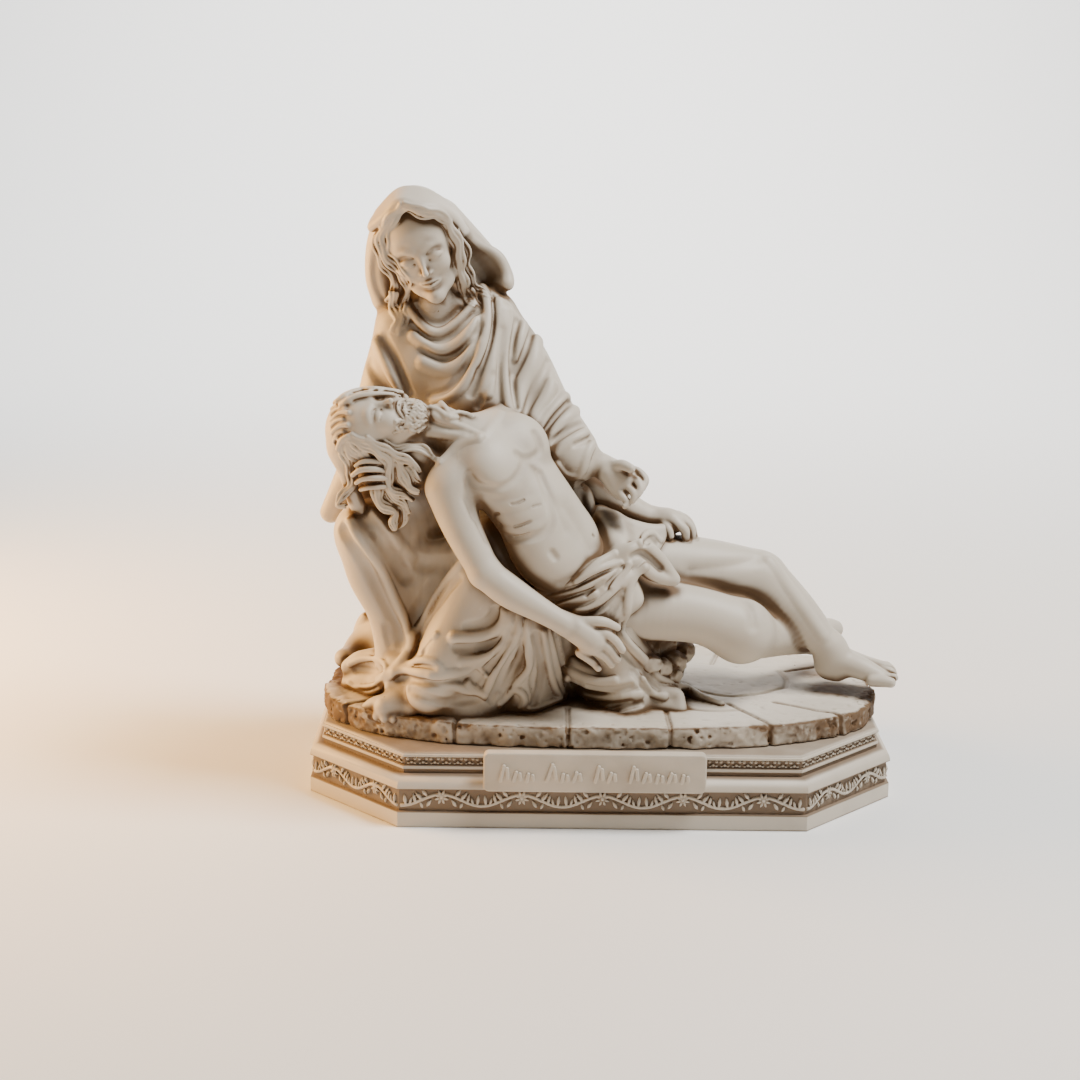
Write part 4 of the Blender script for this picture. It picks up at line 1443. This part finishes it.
# Slanted pairs of strokes that aren't letters: how many in each group, sizes, lean in radians, and how
# dark the wash is on the plate round them
strokes = {
    "words": [3, 3, 2, 5],
    "pitch": 5.4,
    "gap": 4.0,
    "firstTall": 8.2,
    "tall": 4.6,
    "taller": 0.8,
    "baseline": -4.2,
    "spread": 1.1,
    "thickness": 1.6,
    "proud": 1.1,
    "ease": 0.3,
    "slant": 0.32,
    "groundTint": 0.16,
}


def roundedBlock(name, size, middle, corner, ease, turn=0.0):
    deselectAll()
    bpy.ops.mesh.primitive_cube_add(size=1, location=(0, 0, 0))
    block = bpy.context.active_object
    block.name = name
    block.scale = toMetres(*size)
    bpy.ops.object.transform_apply(location=False, rotation=False, scale=True)
    bpy.ops.object.mode_set(mode="EDIT")
    bpy.ops.mesh.select_mode(type="EDGE")
    selectEdges(block, lambda a, b: abs(a.y - b.y) > 1e-6)
    bpy.ops.mesh.bevel(offset=corner * millimetre, segments=6, affect="EDGES")
    front = (-0.5 * size[1] + 0.01) * millimetre
    selectEdges(block, lambda a, b: max(a.y, b.y) < front)
    bpy.ops.mesh.bevel(offset=ease * millimetre, segments=3, affect="EDGES")
    bpy.ops.object.mode_set(mode="OBJECT")
    block.data.transform(Matrix.Translation(toMetres(*middle)) @ Matrix.Rotation(turn, 4, "Y"))
    return block


def makePlate():
    thick = plate["thickness"]
    level = plate["bottom"] + 0.5 * plate["height"]
    size = (plate["width"], thick, plate["height"])
    middle = (plate["middle"], plate["front"] + 0.5 * thick, level)
    blocks = [roundedBlock("plate", size, middle, plate["corner"], plate["ease"])]
    room = sum(strokes["words"]) * strokes["pitch"] + (len(strokes["words"]) - 1) * strokes["gap"]
    along = plate["middle"] - 0.5 * room + 0.5 * strokes["pitch"]
    corner = 0.5 * strokes["thickness"] - 0.02
    count = 0
    for word in strokes["words"]:
        for n in range(word):
            tall = strokes["firstTall"] if n == 0 else strokes["tall"]
            tall += strokes["taller"] if count % 2 else 0
            turn = strokes["slant"] * (1 if count % 2 else 0.7)
            low = level + strokes["baseline"] + 0.5 * tall
            for side, lean, share in ((-1, turn, 1), (1, -0.5 * turn, 0.7)):
                bar = (strokes["thickness"], 2 * strokes["proud"], tall * share)
                at = (along + side * strokes["spread"], plate["front"], low)
                blocks.append(roundedBlock("stroke", bar, at, corner, strokes["ease"], lean))
            along += strokes["pitch"]
            count += 1
        along += strokes["gap"]
    for block in blocks:
        tint = strokes["groundTint"] if block is blocks[0] else 0.0
        shade = block.data.attributes.new("hollow", "FLOAT", "POINT")
        shade.data.foreach_set("value", [tint] * len(block.data.vertices))
    joined = joinPieces("namePlate", blocks)
    bpy.ops.object.shade_smooth_by_angle(angle=math.radians(40))
    return joined


# Materials: pale resin with a brown wash left in its hollows
def addNode(tree, kind, place, **settings):
    node = tree.nodes.new(kind)
    node.location = place
    for key, value in settings.items():
        setattr(node, key, value)
    return node


# Node group: how much wash stays at a point, from the hollow attribute and cloudy noise
def makeWashGroup():
    group = bpy.data.node_groups.new("washInHollows", "ShaderNodeTree")
    for name in ("Hollow", "Cloud Scale", "Strength"):
        group.interface.new_socket(name, in_out="INPUT", socket_type="NodeSocketFloat")
    for name in ("Wash", "Height"):
        group.interface.new_socket(name, in_out="OUTPUT", socket_type="NodeSocketFloat")
    put = addNode(group, "NodeGroupInput", (-900, 0))
    out = addNode(group, "NodeGroupOutput", (600, 0))
    where = addNode(group, "ShaderNodeTexCoord", (-900, -300))
    cloud = addNode(group, "ShaderNodeTexNoise", (-600, -200))
    cloud.inputs["Detail"].default_value = 5
    fine = addNode(group, "ShaderNodeTexNoise", (-600, -500))
    fine.inputs["Scale"].default_value = resin["grainScale"]
    fine.inputs["Detail"].default_value = 3
    spread = addNode(group, "ShaderNodeMath", (-300, -200), operation="MULTIPLY_ADD")
    spread.inputs[1].default_value = 0.5
    spread.inputs[2].default_value = -0.25
    added = addNode(group, "ShaderNodeMath", (-100, 0), operation="ADD")
    ramp = addNode(group, "ShaderNodeMapRange", (100, 0), interpolation_type="SMOOTHSTEP")
    ramp.inputs["From Min"].default_value = resin["washFrom"]
    ramp.inputs["From Max"].default_value = resin["washFull"]
    strong = addNode(group, "ShaderNodeMath", (300, 0), operation="MULTIPLY")
    link = group.links.new
    link(where.outputs["Object"], cloud.inputs["Vector"])
    link(where.outputs["Object"], fine.inputs["Vector"])
    link(put.outputs["Cloud Scale"], cloud.inputs["Scale"])
    link(cloud.outputs["Fac"], spread.inputs[0])
    link(spread.outputs[0], added.inputs[0])
    link(put.outputs["Hollow"], added.inputs[1])
    link(added.outputs[0], ramp.inputs["Value"])
    link(ramp.outputs["Result"], strong.inputs[0])
    link(put.outputs["Strength"], strong.inputs[1])
    link(strong.outputs[0], out.inputs["Wash"])
    link(fine.outputs["Fac"], out.inputs["Height"])
    return group


# Bands of wash by height on the plinth: height in millimetres and how hollow it is there
plinthBands = [
    (0.0, 0.45), (0.7, 0.05), (6.2, 0.05), (7.0, 0.95), (8.2, 0.62), (15.8, 0.62),
    (16.9, 0.95), (17.5, 0.1), (21.6, 0.05), (22.8, 0.9), (24.1, 0.9), (24.6, 0.1),
    (25.5, 0.15), (26.0, 0.85), (29.4, 0.85), (30.0, 0.1), (31.0, 0.1), (32.0, 0.5),
]


# Node group: how hollow the plinth is at a point's height
def makeBandGroup():
    group = bpy.data.node_groups.new("plinthBands", "ShaderNodeTree")
    group.interface.new_socket("Hollow", in_out="OUTPUT", socket_type="NodeSocketFloat")
    out = addNode(group, "NodeGroupOutput", (400, 0))
    where = addNode(group, "ShaderNodeTexCoord", (-800, 0))
    split = addNode(group, "ShaderNodeSeparateXYZ", (-600, 0))
    level = addNode(group, "ShaderNodeMath", (-400, 0), operation="MULTIPLY")
    level.inputs[1].default_value = 1 / (plinth["height"] * millimetre)
    ramp = addNode(group, "ShaderNodeValToRGB", (-200, 0))
    stops = ramp.color_ramp.elements
    while len(stops) < len(plinthBands):
        stops.new(0.5)
    for stop, (height, hollow) in zip(stops, plinthBands):
        stop.position = height / plinth["height"]
        stop.color = (hollow, hollow, hollow, 1)
    group.links.new(where.outputs["Object"], split.inputs[0])
    group.links.new(split.outputs["Z"], level.inputs[0])
    group.links.new(level.outputs[0], ramp.inputs["Fac"])
    group.links.new(ramp.outputs["Color"], out.inputs["Hollow"])
    return group


def makeResin(name, group, strength, bands=None):
    material = bpy.data.materials.new(name)
    material.use_nodes = True
    tree = material.node_tree
    shader = tree.nodes["Principled BSDF"]
    shader.inputs["IOR"].default_value = 1.45
    shader.inputs["Subsurface Weight"].default_value = 0.0
    if bands:
        hollow = addNode(tree, "ShaderNodeGroup", (-1000, 0), node_tree=bands).outputs["Hollow"]
    else:
        hollow = addNode(tree, "ShaderNodeAttribute", (-1000, 0), attribute_name="hollow").outputs["Fac"]
    wash = addNode(tree, "ShaderNodeGroup", (-800, 0), node_tree=group)
    wash.inputs["Cloud Scale"].default_value = resin["cloudScale"]
    wash.inputs["Strength"].default_value = strength
    color = addNode(tree, "ShaderNodeMix", (-400, 200), data_type="RGBA")
    color.inputs[6].default_value = (*resin["ivory"], 1)
    color.inputs[7].default_value = (*resin["wash"], 1)
    rough = addNode(tree, "ShaderNodeMapRange", (-400, -100))
    rough.inputs["To Min"].default_value = resin["roughness"]
    rough.inputs["To Max"].default_value = resin["washRoughness"]
    bump = addNode(tree, "ShaderNodeBump", (-400, -400))
    bump.inputs["Strength"].default_value = resin["grain"]
    bump.inputs["Distance"].default_value = resin["grainDepth"]
    link = tree.links.new
    link(hollow, wash.inputs["Hollow"])
    link(wash.outputs["Wash"], color.inputs[0])
    link(wash.outputs["Wash"], rough.inputs["Value"])
    link(wash.outputs["Height"], bump.inputs["Height"])
    link(color.outputs[2], shader.inputs["Base Color"])
    link(rough.outputs["Result"], shader.inputs["Roughness"])
    link(bump.outputs["Normal"], shader.inputs["Normal"])
    return material


washInHollows = makeWashGroup()
castResin = makeResin("castResin", washInHollows, 1.0)
bandedResin = makeResin("bandedResin", washInHollows, 0.85, makeBandGroup())

# All forms once in coarse clay, which tells where the hollows between the pieces are
whole = Clay([-134, -77, 31], [137, 77, 276], 1.1)
makeMother(whole)
makeVeiledHead(whole)
man = whole.like()
makeMan(man)
makeManHead(man)
whole.join(man)
loose = whole.like()
makeHipCloth(loose)
makeRubble(loose)
whole.join(loose)
makeGround(loose, rough=False)
whole.join(loose)
print("coarse clay ready")

# Pieces that meet at a cut reach past it by this much, and their clay by much more, so that folds run on
seamOverlap = 0.8
clayPastSeam = 14
# Distances in mm at which the hollows are felt for, in the whole clay and in the piece's own
wideHollows = (2.0, 4.0, 7.0, 11.0)
fineHollows = (0.7, 1.5)


# One piece from low to high, cut at planes of axis, level and whether the piece is above it
def cast(name, low, high, cell, triangles, makers, slot, *nodes, planes=()):
    clay = Clay(low, high, cell * coarser)
    for maker in makers:
        maker(clay)
    for axis, level, above in planes:
        shape = [1, 1, 1]
        shape[axis] = clay.size[axis]
        side = (clay.axes[axis] - np.float32(level)).reshape(shape) * (-1 if above else 1) - seamOverlap
        clay.field = np.maximum(clay.field, side)
    piece = meshOf(name, clay, int(triangles / (1)))
    markHollows(piece, [(whole, wideHollows, 1.0), (clay, fineHollows, 0.7)])
    finishPiece(piece, slot, *nodes)


neckLevel = 213.0
headSide = -72.0
mother = [makeMother, makeVeiledHead]
son = [makeMan, makeManHead]
resinSlot = "figure_resin"
cast("drapery", [-134, -77, 37], [70, 77, neckLevel + clayPastSeam], 0.55, 190000, mother,
     resinSlot, "figure_group", planes=[(2, neckLevel, False)])
cast("veiledHead", [-134, -50, neckLevel - clayPastSeam], [-20, 60, 276], 0.36, 150000, mother,
     resinSlot, planes=[(2, neckLevel, True)])
cast("manBody", [headSide - clayPastSeam, -77, 37], [137, 40, 200], 0.42, 170000, son,
     resinSlot, planes=[(0, headSide, True)])
cast("manHead", [-134, -77, 90], [headSide + clayPastSeam, 10, 200], 0.34, 140000, son,
     resinSlot, planes=[(0, headSide, False)])
cast("hipCloth", [-40, -77, 37], [60, 20, 130], 0.42, 110000, [makeHipCloth], resinSlot)
cast("rubble", [-10, -60, 37], [50, 20, 80], 0.6, 20000, [makeRubble], resinSlot)
cast("stoneGround", [-130, -68, 31], [130, 68, 45], 0.6, 110000, [makeGround], resinSlot)

plinthBody = makePlinth()
# Each band lies on its sunk slab and stands on the slab below it
friezeInset, footTop = plinthSlabs["frieze"][0], plinthSlabs["foot band"][2]
beadInset, filletTop = plinthSlabs["bead band"][0], plinthSlabs["lower fillet"][2]
carvedBand = runRound("carvedBand", makeVineLength(), vine["length"], friezeInset, footTop, 1.0)
beadBand = runRound("beadBand", makeBeadLength(), bead["length"], beadInset, filletTop, 0.4)
namePlate = makePlate()
finishPiece(plinthBody, "plinth_resin", "plinth", material=bandedResin)
finishPiece(carvedBand, "plinth_resin")
finishPiece(beadBand, "plinth_resin")
finishPiece(namePlate, "plate_resin", "nameplate")
print("plinth ready")

# Studio: pale floor, soft lights, and the camera at the photograph's place
studio = {
    "floor": (0.86, 0.855, 0.84),
    "floorSize": 8,
    "floorMiddle": (0, -1.5, -0.0002),
    "wall": 6,
    "wallBend": 1.5,
    "key": {"place": (0.5, -0.14, 1.0), "size": 0.4, "power": 20.0, "color": (1.0, 0.985, 0.96)},
    "fill": {"place": (-0.7, -0.7, 0.3), "size": 0.9, "power": 0.9, "color": (1.0, 0.74, 0.44)},
    "warm": {"place": (-0.6, 0.12, 0.26), "size": 0.35, "power": 11.0, "color": (1.0, 0.55, 0.18)},
    "backdrop": {
        "place": (0.0, 1.0, 1.5),
        "size": 1.4,
        "power": 85.0,
        "color": (1.0, 1.0, 1.0),
        "aim": (0, 2.6, 0.5),
    },
    "air": (1.0, 0.95, 0.88),
    "airStrength": 0.07,
}


def addLight(name, place, size, power, color, aim=(-0.02, 0, 0.12)):
    data = bpy.data.lights.new(name, "AREA")
    data.size = size
    data.energy = power
    data.color = color
    lamp = bpy.data.objects.new(name, data)
    bpy.context.scene.collection.objects.link(lamp)
    lamp.location = place
    lamp.rotation_euler = (Vector(aim) - Vector(place)).to_track_quat("-Z", "Y").to_euler()


for name in ("key", "fill", "warm", "backdrop"):
    addLight(name, **studio[name])
world = bpy.data.worlds.new("studioAir")
bpy.context.scene.world = world
world.use_nodes = True
air = world.node_tree.nodes["Background"]
air.inputs["Color"].default_value = (*studio["air"], 1)
air.inputs["Strength"].default_value = studio["airStrength"]

# The floor turns up into a wall far behind the statue
deselectAll()
bpy.ops.mesh.primitive_plane_add(size=studio["floorSize"], location=studio["floorMiddle"])
floor = bpy.context.active_object
floor.name = "floor"
bpy.ops.object.mode_set(mode="EDIT")
bpy.ops.mesh.select_mode(type="EDGE")
farEdge = 0.5 * studio["floorSize"] - 0.1
selectEdges(floor, lambda a, b: min(a.y, b.y) > farEdge)
bpy.ops.mesh.extrude_region_move(TRANSFORM_OT_translate={"value": (0, 0, studio["wall"])})
selectEdges(floor, lambda a, b: min(a.y, b.y) > farEdge and max(a.z, b.z) < 0.1)
bpy.ops.mesh.bevel(offset=studio["wallBend"], segments=16, affect="EDGES")
bpy.ops.object.mode_set(mode="OBJECT")
bpy.ops.object.shade_smooth()
paper = bpy.data.materials.new("palePaper")
paper.use_nodes = True
paperShader = paper.node_tree.nodes["Principled BSDF"]
paperShader.inputs["Base Color"].default_value = (*studio["floor"], 1)
paperShader.inputs["Roughness"].default_value = 0.9
floor.data.materials.append(paper)

view = {"place": (-0.028, -0.87327, 0.32673), "tilt": 76.0, "roll": 0.63, "lens": 66.2}
cameraData = bpy.data.cameras.new("photoView")
cameraData.lens = view["lens"]
cameraData.sensor_width = 36
cameraData.clip_start = 0.01
camera = bpy.data.objects.new("photoView", cameraData)
bpy.context.scene.collection.objects.link(camera)
camera.matrix_world = (
    Matrix.Translation(view["place"])
    @ Matrix.Rotation(math.radians(view["tilt"]), 4, "X")
    @ Matrix.Rotation(math.radians(view["roll"]), 4, "Z")
)
bpy.context.scene.camera = camera

print("scene ready")
